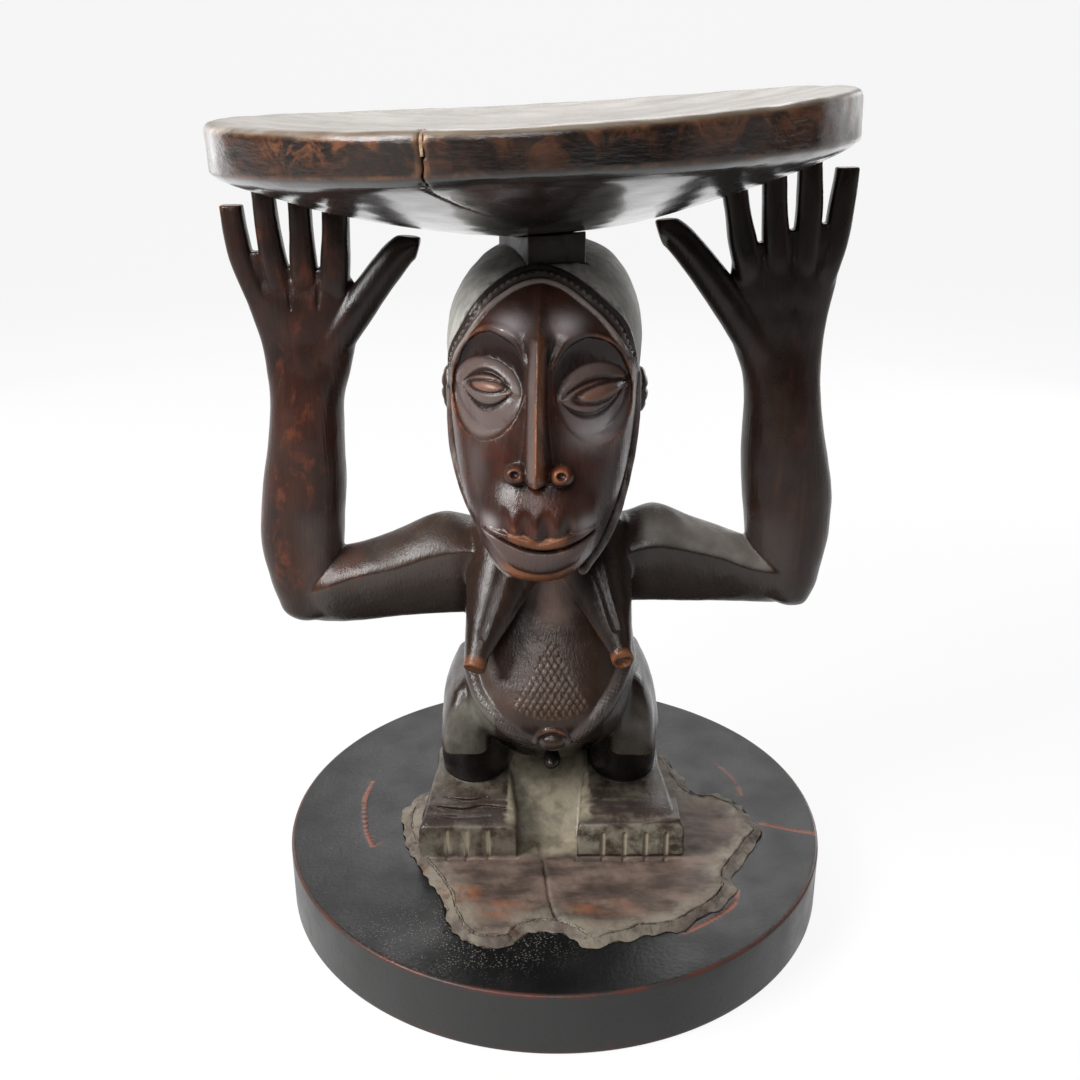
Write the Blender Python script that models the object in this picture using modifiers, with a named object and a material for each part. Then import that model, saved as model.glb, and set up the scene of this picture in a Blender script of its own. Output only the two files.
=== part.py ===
"""Carved stool: a squatting figure holds a round dished seat on its head and hands.

It stands on a later turned base disc. Metres, +Z up. The figure faces -Y, and +X is its left hand's side.
The origin is under the middle of the disc.
"""

import math

import bmesh
import bpy
from mathutils import Matrix, Vector

# Gap between pieces that touch
FIT = 0.0003

# Base disc, the recess in it, and the putty round the old plinth
DISC_RADIUS = 0.160
DISC_FOOT_RADIUS = 0.158
DISC_THICKNESS = 0.0375
DISC_EDGE = 0.0025
RECESS_DEPTH = 0.008
PUTTY_WIDTH = 0.0045
PUTTY_PROUD = 0.0012

# Screws from under the disc into the feet
SCREW_LENGTH = 0.045
SCREW_SINK = 0.002
SCREW_HEAD_RADIUS = 0.0048
SCREW_HEAD_HEIGHT = 0.0032
SCREW_SHANK_RADIUS = 0.0023
SCREW_POINT = 0.006
SCREW_SLOT = 0.0011
SCREW_FRONT_Y = -0.034
SCREW_BACK_Y = 0.014
SCREW_SIDES = 16

# Remnant of the first plinth, in one piece with the feet
PLATE_THICKNESS = 0.011
PLATE_OUTLINE = (
    (-0.0625, 0.049), (-0.0705, 0.025), (-0.0825, 0.0075), (-0.0875, -0.0065), (-0.0835, -0.0305),
    (-0.076, -0.049), (-0.068, -0.064), (-0.0575, -0.0855), (-0.0535, -0.102), (-0.046, -0.114),
    (-0.0355, -0.1185), (-0.026, -0.1175), (-0.0185, -0.109), (-0.008, -0.106), (0.0005, -0.107),
    (0.0075, -0.1115), (0.0175, -0.1185), (0.0275, -0.116), (0.040, -0.111), (0.064, -0.106),
    (0.075, -0.097), (0.087, -0.0865), (0.0935, -0.077), (0.0945, -0.0635), (0.1035, -0.049),
    (0.110, -0.038), (0.119, -0.0235), (0.116, -0.0135), (0.110, 0.0045), (0.099, 0.0135),
    (0.086, 0.0165), (0.076, 0.035), (0.070, 0.0585), (0.0515, 0.074), (0.0095, 0.0895), (-0.042, 0.078),
)

# Seat board
SEAT_RADIUS = 0.163
SEAT_HEIGHT = 0.3475
SEAT_OFFSET = -0.004
SEAT_TILT = math.radians(2.86)
SEAT_BELLY = 0.032
SEAT_BEVEL = 0.0055
SEAT_BEVEL_RISE = 0.0085
SEAT_RIM = 0.0175
SEAT_ROUND = 0.004
SEAT_LIP = 0.012
SEAT_DISH = 0.009
SEAT_BOW = 0.005

# Crack in the front rim
CRACK_ANGLE = math.radians(255)
CRACK_WIDTH = 0.0022
CRACK_DEPTH = 0.014
CRACK_FILL = 0.009

# Figure's middle line and the heights of its joints above the plinth
FIGURE_X = -0.004
FIGURE_LEAN = -0.011
WAIST_RISE = 0.108
SHOULDER_RISE = 0.195
SHOULDER_HALF = 0.050

# Feet and legs
FOOT_OUT = 0.0455
FOOT_HALF = 0.029
FOOT_HEIGHT = 0.031
TOE_HEIGHT = 0.024
TOE_Y = -0.0515
HEEL_Y = 0.037
LEG_OUT = 0.0445
LEG_HALF = 0.020
LEG_BACK = 0.028
KNEE_RISE = 0.0633
THIGH_OUT = 0.048
THIGH_HALF = 0.015
THIGH_FRONT = -0.0435
THIGH_BACK = 0.037
THIGH_RISE_RIGHT_LEG = 0.106
THIGH_RISE_LEFT_LEG = 0.110
WEB_HALF = 0.029

# Torso
BELLY_FRONT = -0.063
TRUNK_HALF = 0.0495
TRUNK_BACK = 0.040
TRUNK_POWER = 2.45
BAND_RADIUS = 0.0036
BREAST_OUT = 0.0395
BREAST_FRONT = -0.061
NIPPLE_RISE = 0.1305

# Arms, with the left of the picture first
ARM_DEPTH = 0.021
ELBOW_OUT = 0.136
ELBOW_RISE_RIGHT_HAND = 0.128
ELBOW_RISE_LEFT_HAND = 0.140
WRIST_OUT = 0.126
WRIST_RISE_RIGHT_HAND = 0.268
WRIST_RISE_LEFT_HAND = 0.280
HAND_DEPTH = 0.010
FINGER_HALF = 0.0058
FINGER_STEP = 0.0157
LITTLE_FINGER_GAP = 0.008
THUMB_GAP = 0.0055

# Head
HEAD_HEIGHT = 0.153
HEAD_GAP = 0.004
HEAD_HALF = 0.0496
HEAD_TURN = math.radians(2.4)
EYE_RISE = 0.0915
EYE_OUT = 0.0255
NOSE_RISE = 0.055
MOUTH_RISE = 0.0215
BROW_RISE = 0.121
HEAD_POWER = 2.35
DIADEM_RADIUS = 0.0030

# Crown post and its tenon
POST_OUT_LEFT = 0.0185
POST_OUT_RIGHT = 0.0105
POST_FRONT = -0.034
POST_BACK = 0.018
POST_DOWN = 0.038
POST_TURN = math.radians(16)
TENON_WIDTH = 0.020
TENON_LENGTH = 0.018

# Fineness of the turned and fused shapes
CARVING_STEP = 0.0011
SEAT_SIDES = 60
DISC_SIDES = 72
CARVING_TRIANGLES = 8250

PLATE_TOP = DISC_THICKNESS - RECESS_DEPTH + FIT + PLATE_THICKNESS
LEFT, RIGHT = -1, 1


def collection(name):
    made = bpy.data.collections.new(name)
    bpy.context.scene.collection.children.link(made)
    return made


def place(name, mesh, home, matrix=None):
    """An object with this mesh, in this collection."""
    made = bpy.data.objects.new(name, mesh)
    home.objects.link(made)
    if matrix:
        made.matrix_world = matrix
    return made


def from_bmesh(name, bm, home, matrix=None):
    bmesh.ops.recalc_face_normals(bm, faces=bm.faces)
    mesh = bpy.data.meshes.new(name)
    bm.to_mesh(mesh)
    bm.free()
    return place(name, mesh, home, matrix)


def settled(source, name, home):
    """A plain mesh object of what another object evaluates to; the other one goes."""
    bpy.context.view_layer.update()
    graph = bpy.context.evaluated_depsgraph_get()
    evaluated = source.evaluated_get(graph)
    bm = bmesh.new()
    bm.from_mesh(bpy.data.meshes.new_from_object(evaluated))
    bmesh.ops.remove_doubles(bm, verts=bm.verts, dist=1e-6)
    matrix = source.matrix_world.copy()
    bpy.data.objects.remove(source)
    return from_bmesh(name, bm, home, matrix)


def boolean(target, tool, operation):
    modifier = target.modifiers.new(tool.name, "BOOLEAN")
    modifier.operation = operation
    modifier.object = tool
    tool.hide_render = True
    tool.display_type = "WIRE"


def turned(name, profile, home, steps):
    """A shape turned about Z, from a profile that runs down its outer side."""
    bm = bmesh.new()
    points = [bm.verts.new((radius, 0, height)) for radius, height in profile]
    for first, second in zip(points, points[1:]):
        bm.edges.new((first, second))
    mesh = bpy.data.meshes.new(name)
    bm.to_mesh(mesh)
    bm.free()
    made = place(name, mesh, home)
    screw = made.modifiers.new("Turn", "SCREW")
    screw.steps = steps
    screw.render_steps = steps
    screw.use_merge_vertices = True
    screw.merge_threshold = 1e-5
    return settled(made, name, home)


def slab(name, outline, low, high, home):
    """A flat plate with this outline, smooth between its points."""
    curve = bpy.data.curves.new(name, "CURVE")
    curve.dimensions = "2D"
    curve.fill_mode = "BOTH"
    curve.extrude = (high - low) / 2
    curve.resolution_u = 2
    spline = curve.splines.new("BEZIER")
    spline.bezier_points.add(len(outline) - 1)
    for point, (x, y) in zip(spline.bezier_points, outline):
        point.co = (x, y, 0)
        point.handle_left_type = "AUTO"
        point.handle_right_type = "AUTO"
    spline.use_cyclic_u = True
    made = place(name, curve, home, Matrix.Translation((0, 0, (low + high) / 2)))
    return settled(made, name, home)


def grown(outline, width):
    """The outline moved outward by this width, square to its run at each point."""
    moved = []
    for index, point in enumerate(outline):
        following = outline[(index + 1) % len(outline)]
        run = Vector(following) - Vector(outline[index - 1])
        moved.append(tuple(Vector(point) + Vector((run.y, -run.x)).normalized() * width))
    return moved


def box(name, low, high, home, matrix=None):
    bm = bmesh.new()
    low, high = Vector(low), Vector(high)
    size = high - low
    shape = Matrix.Translation((low + high) / 2) @ Matrix.Diagonal((*size, 1))
    bmesh.ops.create_cube(bm, size=1, matrix=shape)
    return from_bmesh(name, bm, home, matrix)


def ball(name, centre, radii, home, matrix=None):
    bm = bmesh.new()
    shape = Matrix.Translation(centre) @ Matrix.Diagonal((*radii, 1))
    bmesh.ops.create_uvsphere(bm, u_segments=28, v_segments=16, radius=1, matrix=shape)
    return from_bmesh(name, bm, home, matrix)


def tube(name, points, radius, home, matrix=None):
    """A round bar through these points, with rounded bends."""
    curve = bpy.data.curves.new(name, "CURVE")
    curve.dimensions = "3D"
    curve.bevel_depth = radius
    curve.bevel_resolution = 3
    curve.use_fill_caps = True
    curve.resolution_u = 6
    spline = curve.splines.new("BEZIER")
    spline.bezier_points.add(len(points) - 1)
    for point, co in zip(spline.bezier_points, points):
        point.co = co
        point.handle_left_type = "AUTO"
        point.handle_right_type = "AUTO"
    return settled(place(name, curve, home, matrix), name, home)


def loft(name, sections, across, home, power=2.0, matrix=None, sides=28, level=False):
    """A closed skin over superellipse sections, each (middle, half width, half depth).

    across is the direction of the widths. The depths run along Y where the sections are level,
    and otherwise square to the widths and to the line through the middles.
    """
    across = Vector(across).normalized()
    middles = [Vector(middle) for middle, _, _ in sections]
    bm = bmesh.new()
    rings = []
    for index, (_, half_width, half_depth) in enumerate(sections):
        before = middles[max(index - 1, 0)]
        after = middles[min(index + 1, len(middles) - 1)]
        through = Vector((0, 1, 0)) if level else (after - before).cross(across).normalized()
        ring = []
        for step in range(sides):
            angle = 2 * math.pi * step / sides
            wide = math.copysign(abs(math.cos(angle)) ** (2 / power), math.cos(angle))
            deep = math.copysign(abs(math.sin(angle)) ** (2 / power), math.sin(angle))
            offset = across * half_width * wide + through * half_depth * deep
            ring.append(bm.verts.new(middles[index] + offset))
        rings.append(ring)
    for lower, upper in zip(rings, rings[1:]):
        for step in range(sides):
            following = (step + 1) % sides
            bm.faces.new((lower[step], lower[following], upper[following], upper[step]))
    bm.faces.new(rings[0])
    bm.faces.new(rings[-1])
    return from_bmesh(name, bm, home, matrix)


def mirrored(point, side):
    x, y, z = point
    return (side * x, y, z)


def on_figure(rise, out=0.0, y=0.0):
    """A point at this height above the plinth, this far to the side of the figure's leaning middle line."""
    return Vector((FIGURE_X + FIGURE_LEAN * rise + out, y, PLATE_TOP + rise))


def upright(sections):
    """Sections of an upright loft from (rise, out, half width, front, back)."""
    return [
        (on_figure(rise, out, (front + back) / 2), half, (back - front) / 2)
        for rise, out, half, front, back in sections
    ]


# Seat
def seat_matrix(drop=0.0):
    """Places the seat, whose own origin is the middle of its underside, tilted towards -X."""
    middle = on_figure(SEAT_HEIGHT, SEAT_OFFSET)
    tilt = Matrix.Rotation(-SEAT_TILT, 4, "Y")
    return Matrix.Translation(middle) @ tilt @ Matrix.Translation((0, 0, -drop))


def seat_profile():
    """The seat's half section, from the middle of the dish round the rim to the middle of the underside."""
    belly_radius = SEAT_RADIUS - SEAT_BEVEL
    rim_low = SEAT_BELLY + SEAT_BEVEL_RISE
    rim_top = rim_low + SEAT_RIM
    lip_radius = SEAT_RADIUS - SEAT_LIP
    dish_steps, round_steps, belly_steps = 6, 4, 9
    points = []
    for step in range(dish_steps + 1):
        share = step / dish_steps
        points.append((lip_radius * share, rim_top - SEAT_DISH * (1 - share**2)))
    for step in range(round_steps + 1):
        angle = math.pi / 2 * (1 - step / round_steps)
        across = SEAT_RADIUS - SEAT_ROUND + SEAT_ROUND * math.cos(angle)
        points.append((across, rim_top - SEAT_ROUND + SEAT_ROUND * math.sin(angle)))
    points.append((SEAT_RADIUS, rim_low))
    for step in range(belly_steps + 1):
        share = 1 - step / belly_steps
        points.append((belly_radius * share, SEAT_BELLY * share**1.6))
    return points


def seat_blank(name, home, drop=0.0):
    """The whole board without its mortise: a turned shape whose top rises to the two sides."""
    blank = turned(name, seat_profile(), home, SEAT_SIDES)
    rim_low = SEAT_BELLY + SEAT_BEVEL_RISE
    for vertex in blank.data.vertices:
        share = min(max((vertex.co.z - rim_low) / SEAT_RIM, 0), 1)
        vertex.co.z += SEAT_BOW * share * (vertex.co.x / SEAT_RADIUS) ** 2
    blank.matrix_world = seat_matrix(drop)
    return blank


def crack_wedge(name, home, side_gap, low, high):
    """A radial wedge through the seat's rim, narrowing inward, between two heights in its own frame."""
    half = CRACK_WIDTH / 2 - side_gap
    inner = SEAT_RADIUS - CRACK_DEPTH + side_gap
    outer = SEAT_RADIUS * 1.05
    bm = bmesh.new()
    corners = ((inner, -half / 2), (outer, -half), (outer, half), (inner, half / 2))
    bottom = bm.faces.new([bm.verts.new((x, y, low)) for x, y in corners])
    lifted = bmesh.ops.extrude_face_region(bm, geom=[bottom])["geom"]
    for vertex in lifted:
        if isinstance(vertex, bmesh.types.BMVert):
            vertex.co.z = high
    return from_bmesh(name, bm, home, seat_matrix() @ Matrix.Rotation(CRACK_ANGLE, 4, "Z"))


def tenon_box(name, home, gap, rise):
    """The square of the tenon, on the crown post's line, from inside the post up into the seat."""
    half = TENON_WIDTH / 2 + gap
    start = -TENON_LENGTH / 2
    matrix = post_matrix()
    return box(name, (-half, -half, start), (half, half, rise), home, matrix)


def post_matrix():
    return Matrix.Translation(on_figure(SEAT_HEIGHT)) @ Matrix.Rotation(POST_TURN, 4, "Z")


def make_seat(parts, tools):
    seat = seat_blank("seat", parts)
    boolean(seat, tenon_box("seat_mortise", tools, FIT, TENON_LENGTH + FIT), "DIFFERENCE")
    rim_top = SEAT_BELLY + SEAT_BEVEL_RISE + SEAT_RIM
    past = SEAT_RIM
    boolean(seat, crack_wedge("rim_crack", tools, 0, SEAT_BELLY, rim_top + past), "DIFFERENCE")
    fill = crack_wedge("seat_crack_fill", parts, FIT, rim_top - CRACK_FILL, rim_top + past)
    boolean(fill, seat_blank("rim_shape", tools, FIT), "INTERSECT")
    return seat, fill


# Figure
def make_foot(home, side):
    """A wedge, high over the instep and lower at the toes, a little sunk into the plinth."""
    stations = (
        (HEEL_Y, FOOT_HALF * 0.60, FOOT_HEIGHT * 0.72),
        (HEEL_Y * 0.8, FOOT_HALF * 0.73, FOOT_HEIGHT * 0.88),
        (0.0, FOOT_HALF * 0.82, FOOT_HEIGHT),
        (TOE_Y / 2, FOOT_HALF * 0.90, FOOT_HEIGHT * 0.95),
        (TOE_Y + 0.004, FOOT_HALF, TOE_HEIGHT),
        (TOE_Y, FOOT_HALF, TOE_HEIGHT * 0.92),
    )
    return loft("foot", standing(stations, side * FOOT_OUT), (1, 0, 0), home, power=6)


def standing(stations, out):
    """Sections of a form that runs from back to front on the plinth, from (y, half width, height)."""
    sole = PLATE_THICKNESS / 4
    return [
        (on_figure((height - sole) / 2, out, y), half, (height + sole) / 2)
        for y, half, height in stations
    ]


def make_legs(home):
    pieces = []
    for side, thigh_rise in ((LEFT, THIGH_RISE_RIGHT_LEG), (RIGHT, THIGH_RISE_LEFT_LEG)):
        pieces.append(make_foot(home, side))
        shin = upright((
            (FOOT_HEIGHT / 2, side * LEG_OUT, LEG_HALF * 0.90, -0.016, LEG_BACK * 0.93),
            (KNEE_RISE * 0.55, side * LEG_OUT, LEG_HALF, -0.021, LEG_BACK),
            (KNEE_RISE * 0.80, side * LEG_OUT, LEG_HALF * 1.03, -0.0235, LEG_BACK * 1.07),
            (KNEE_RISE * 1.30, side * LEG_OUT * 0.96, LEG_HALF * 0.90, -0.022, LEG_BACK * 1.18),
        ))
        pieces.append(loft("shin", shin, (1, 0, 0), home, level=True))
        crest = side * THIGH_OUT * 0.90
        thigh = upright((
            (KNEE_RISE, side * THIGH_OUT, THIGH_HALF, THIGH_FRONT, THIGH_BACK),
            (KNEE_RISE + 0.011, side * THIGH_OUT, THIGH_HALF * 0.97, THIGH_FRONT * 1.02, THIGH_BACK * 1.02),
            (thigh_rise - 0.021, side * THIGH_OUT * 0.96, THIGH_HALF * 0.93, THIGH_FRONT, THIGH_BACK),
            (thigh_rise - 0.0115, crest * 1.04, THIGH_HALF * 0.82, THIGH_FRONT * 0.92, THIGH_BACK * 0.89),
            (thigh_rise - 0.004, crest, THIGH_HALF * 0.65, THIGH_FRONT * 0.78, THIGH_BACK * 0.70),
            (thigh_rise, crest * 0.98, THIGH_HALF * 0.33, THIGH_FRONT * 0.62, THIGH_BACK * 0.27),
        ))
        pieces.append(loft("thigh", thigh, (1, 0, 0), home, power=3.2, level=True))
    slope = (
        (HEEL_Y * 0.8, WEB_HALF, KNEE_RISE),
        (HEEL_Y * 0.3, WEB_HALF, FOOT_HEIGHT * 1.4),
        (-0.015, WEB_HALF, FOOT_HEIGHT * 0.6),
        (-0.034, WEB_HALF, FOOT_HEIGHT * 0.15),
    )
    pieces.append(loft("web_between_feet", standing(slope, 0), (1, 0, 0), home, power=3))
    return pieces


def skin_front(rows, power, rise, out):
    """Where the front of an upright form lies at this height, this far to the side."""
    for (low, _, *lower), (high, _, *upper) in zip(rows, rows[1:]):
        if low <= rise <= high:
            share = (rise - low) / (high - low)
            half, front, back = (a + (b - a) * share for a, b in zip(lower, upper))
            girth = (1 - min(abs(out) / half, 1) ** power) ** (1 / power)
            return (front + back) / 2 - (back - front) / 2 * girth
    return 0.0


def make_torso(home):
    """A narrow trunk that swells to a pointed belly, with a band under it down to the navel."""
    trunk = (
        (WAIST_RISE - 0.058, 0, TRUNK_HALF * 0.55, BELLY_FRONT * 0.38, TRUNK_BACK * 0.82),
        (WAIST_RISE - 0.046, 0, TRUNK_HALF * 0.75, BELLY_FRONT * 0.51, TRUNK_BACK * 0.95),
        (WAIST_RISE - 0.038, 0, TRUNK_HALF * 0.87, BELLY_FRONT * 0.68, TRUNK_BACK),
        (WAIST_RISE - 0.030, 0, TRUNK_HALF * 0.94, BELLY_FRONT * 0.85, TRUNK_BACK * 1.02),
        (WAIST_RISE - 0.020, 0, TRUNK_HALF * 0.98, BELLY_FRONT * 0.976, TRUNK_BACK * 1.02),
        (WAIST_RISE - 0.010, 0, TRUNK_HALF, BELLY_FRONT, TRUNK_BACK),
        (WAIST_RISE + 0.002, 0, TRUNK_HALF, BELLY_FRONT * 0.92, TRUNK_BACK * 0.97),
        (WAIST_RISE + 0.014, 0, TRUNK_HALF * 0.98, BELLY_FRONT * 0.79, TRUNK_BACK * 0.90),
        (WAIST_RISE + 0.028, 0, TRUNK_HALF * 0.95, BELLY_FRONT * 0.66, TRUNK_BACK * 0.82),
        ((WAIST_RISE + SHOULDER_RISE) / 2, 0, TRUNK_HALF * 0.935, BELLY_FRONT * 0.555, TRUNK_BACK * 0.78),
        (SHOULDER_RISE - 0.015, 0, SHOULDER_HALF * 0.93, BELLY_FRONT * 0.44, TRUNK_BACK * 0.73),
        (SHOULDER_RISE - 0.005, 0, SHOULDER_HALF * 0.82, BELLY_FRONT * 0.38, TRUNK_BACK * 0.68),
        (SHOULDER_RISE + 0.004, 0, SHOULDER_HALF * 0.62, BELLY_FRONT * 0.30, TRUNK_BACK * 0.58),
    )
    pieces = [loft("trunk", upright(trunk), (1, 0, 0), home, power=TRUNK_POWER, sides=40, level=True)]
    neck_rise = chin_rise() + HEAD_HEIGHT * 0.4
    neck = upright((
        (SHOULDER_RISE - 0.017, 0, 0.033, -0.026, 0.026),
        (SHOULDER_RISE + 0.001, 0, 0.027, -0.027, 0.025),
        (SHOULDER_RISE + 0.030, 0, 0.025, -0.032, 0.023),
        (neck_rise, 0, 0.026, -0.034, 0.022),
    ))
    pieces.append(loft("neck", neck, (1, 0, 0), home, level=True))
    band = []
    for out, lift in (
        (-0.042, 0.008), (-0.038, -0.002), (-0.028, -0.0115), (-0.017, -0.0205), (0.002, -0.025),
        (0.016, -0.021), (0.027, -0.010), (0.0366, 0.0015), (0.042, 0.010),
    ):
        rise = WAIST_RISE + lift
        band.append(on_figure(rise, out, skin_front(trunk, TRUNK_POWER, rise, out)))
    pieces.append(tube("belly_band", band, BAND_RADIUS, home))
    navel_rise = WAIST_RISE - 0.0255
    navel = on_figure(navel_rise, 0.002, skin_front(trunk, TRUNK_POWER, navel_rise, 0) + 0.0015)
    pieces.append(ball("navel", navel, (0.0082, 0.0070, 0.0062), home))
    for side in (LEFT, RIGHT):
        buttock = on_figure(KNEE_RISE, side * LEG_OUT * 0.47, TRUNK_BACK * 0.62)
        pieces.append(ball("buttock", buttock, (0.023, 0.021, 0.027), home))
    for side in (LEFT, RIGHT):
        root = on_figure(NIPPLE_RISE + 0.037, side * BREAST_OUT * 0.55, -0.012)
        tip = on_figure(NIPPLE_RISE, side * BREAST_OUT, BREAST_FRONT)
        sections = [
            (root.lerp(tip, share), half, half * 1.1)
            for share, half in ((0, 0.025), (0.4, 0.0205), (0.75, 0.0120), (0.9, 0.0064), (1, 0.0052))
        ]
        pieces.append(loft("breast", sections, (1, 0, 0), home))
    return pieces


def make_arm(home, side, elbow_rise, wrist_rise):
    """Upper arm out to the side, forearm straight up, open hand with its palm to the front."""
    elbow_half = 0.023
    halfway = (SHOULDER_HALF + ELBOW_OUT) / 2
    upper_arm = [
        (on_figure(SHOULDER_RISE - 0.030, side * SHOULDER_HALF * 0.5), 0.022, ARM_DEPTH * 1.1),
        (on_figure(SHOULDER_RISE - 0.031, side * SHOULDER_HALF * 1.1), 0.031, ARM_DEPTH * 1.2),
        (on_figure(elbow_rise + elbow_half + 0.008, side * halfway), 0.026, ARM_DEPTH * 1.1),
        (on_figure(elbow_rise + elbow_half + 0.002, side * (ELBOW_OUT - 0.02)), elbow_half, ARM_DEPTH),
        (on_figure(elbow_rise + elbow_half, side * (ELBOW_OUT + 0.008)), elbow_half * 0.7, ARM_DEPTH * 0.9),
    ]
    pieces = [loft("upper_arm", upper_arm, (0, 0, 1), home, power=2.2)]
    reach = wrist_rise - elbow_rise
    forearm = [
        (on_figure(elbow_rise + rise, side * out), half, depth)
        for rise, out, half, depth in (
            (0.000, ELBOW_OUT + 0.004, 0.008, ARM_DEPTH * 0.5),
            (0.008, ELBOW_OUT + 0.003, 0.017, ARM_DEPTH * 0.85),
            (0.025, ELBOW_OUT + 0.002, 0.0215, ARM_DEPTH),
            (0.075, ELBOW_OUT, 0.0240, ARM_DEPTH),
            (reach * 0.76, (ELBOW_OUT + WRIST_OUT) / 2, 0.0205, ARM_DEPTH * 0.9),
            (reach * 0.92, WRIST_OUT + 0.002, 0.0200, ARM_DEPTH * 0.8),
            (reach * 1.1, WRIST_OUT, 0.0225, ARM_DEPTH * 0.65),
        )
    ]
    pieces.append(loft("forearm", forearm, (1, 0, 0), home, power=2.3))
    palm = [
        (on_figure(wrist_rise + rise, side * (WRIST_OUT + out)), half, depth)
        for rise, out, half, depth in (
            (0.000, 0.000, 0.020, ARM_DEPTH * 0.7),
            (0.020, 0.001, 0.0255, HAND_DEPTH * 1.2),
            (0.042, 0.002, 0.0290, HAND_DEPTH),
            (0.055, 0.0025, 0.0290, HAND_DEPTH * 0.7),
        )
    ]
    pieces.append(loft("palm", palm, (1, 0, 0), home, power=2.6))
    knuckles = wrist_rise + 0.050
    for index in range(4):
        base_out = WRIST_OUT - 0.021 + FINGER_STEP * index
        tip_out = base_out - 0.0035 + 0.0025 * index
        bend_out = base_out + (tip_out - base_out) * 0.45
        tip_x = on_figure(SEAT_HEIGHT, side * tip_out).x
        ceiling = seat_underside(tip_x)
        if index == 3:
            tip_rise = ceiling - LITTLE_FINGER_GAP
        else:
            tip_rise = ceiling + SEAT_BEVEL
        sections = [
            (on_figure(knuckles - 0.016, side * base_out), FINGER_HALF * 1.1, HAND_DEPTH * 0.6),
            (on_figure(knuckles + 0.010, side * bend_out), FINGER_HALF, HAND_DEPTH * 0.6),
            (on_figure(tip_rise, side * tip_out), FINGER_HALF, HAND_DEPTH * 0.55),
        ]
        pieces.append(loft("finger", sections, (1, 0, 0), home, power=3))
    thumb_tip_out = WRIST_OUT - 0.063
    thumb_tip = seat_underside(on_figure(SEAT_HEIGHT, side * thumb_tip_out).x) - THUMB_GAP
    thumb = [
        (on_figure(wrist_rise + 0.012, side * (WRIST_OUT - 0.008)), 0.014, HAND_DEPTH),
        (on_figure(wrist_rise + 0.036, side * (WRIST_OUT - 0.034)), 0.0095, HAND_DEPTH * 0.8),
        (on_figure(thumb_tip - 0.012, side * (thumb_tip_out + 0.010)), 0.0078, HAND_DEPTH * 0.65),
        (on_figure(thumb_tip, side * thumb_tip_out), 0.0040, HAND_DEPTH * 0.5),
    ]
    pieces.append(loft("thumb", thumb, (0, 1, 0), home, power=2.4))
    return pieces


def seat_underside(x):
    """Rise of the seat's underside above the plinth, at this x on the middle line of its depth."""
    across = (x - on_figure(SEAT_HEIGHT, SEAT_OFFSET).x) / math.cos(SEAT_TILT)
    share = min(abs(across) / (SEAT_RADIUS - SEAT_BEVEL), 1)
    return SEAT_HEIGHT + SEAT_BELLY * share**1.6 + across * math.sin(SEAT_TILT)


def chin_rise():
    return SEAT_HEIGHT - HEAD_GAP - HEAD_HEIGHT


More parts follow.
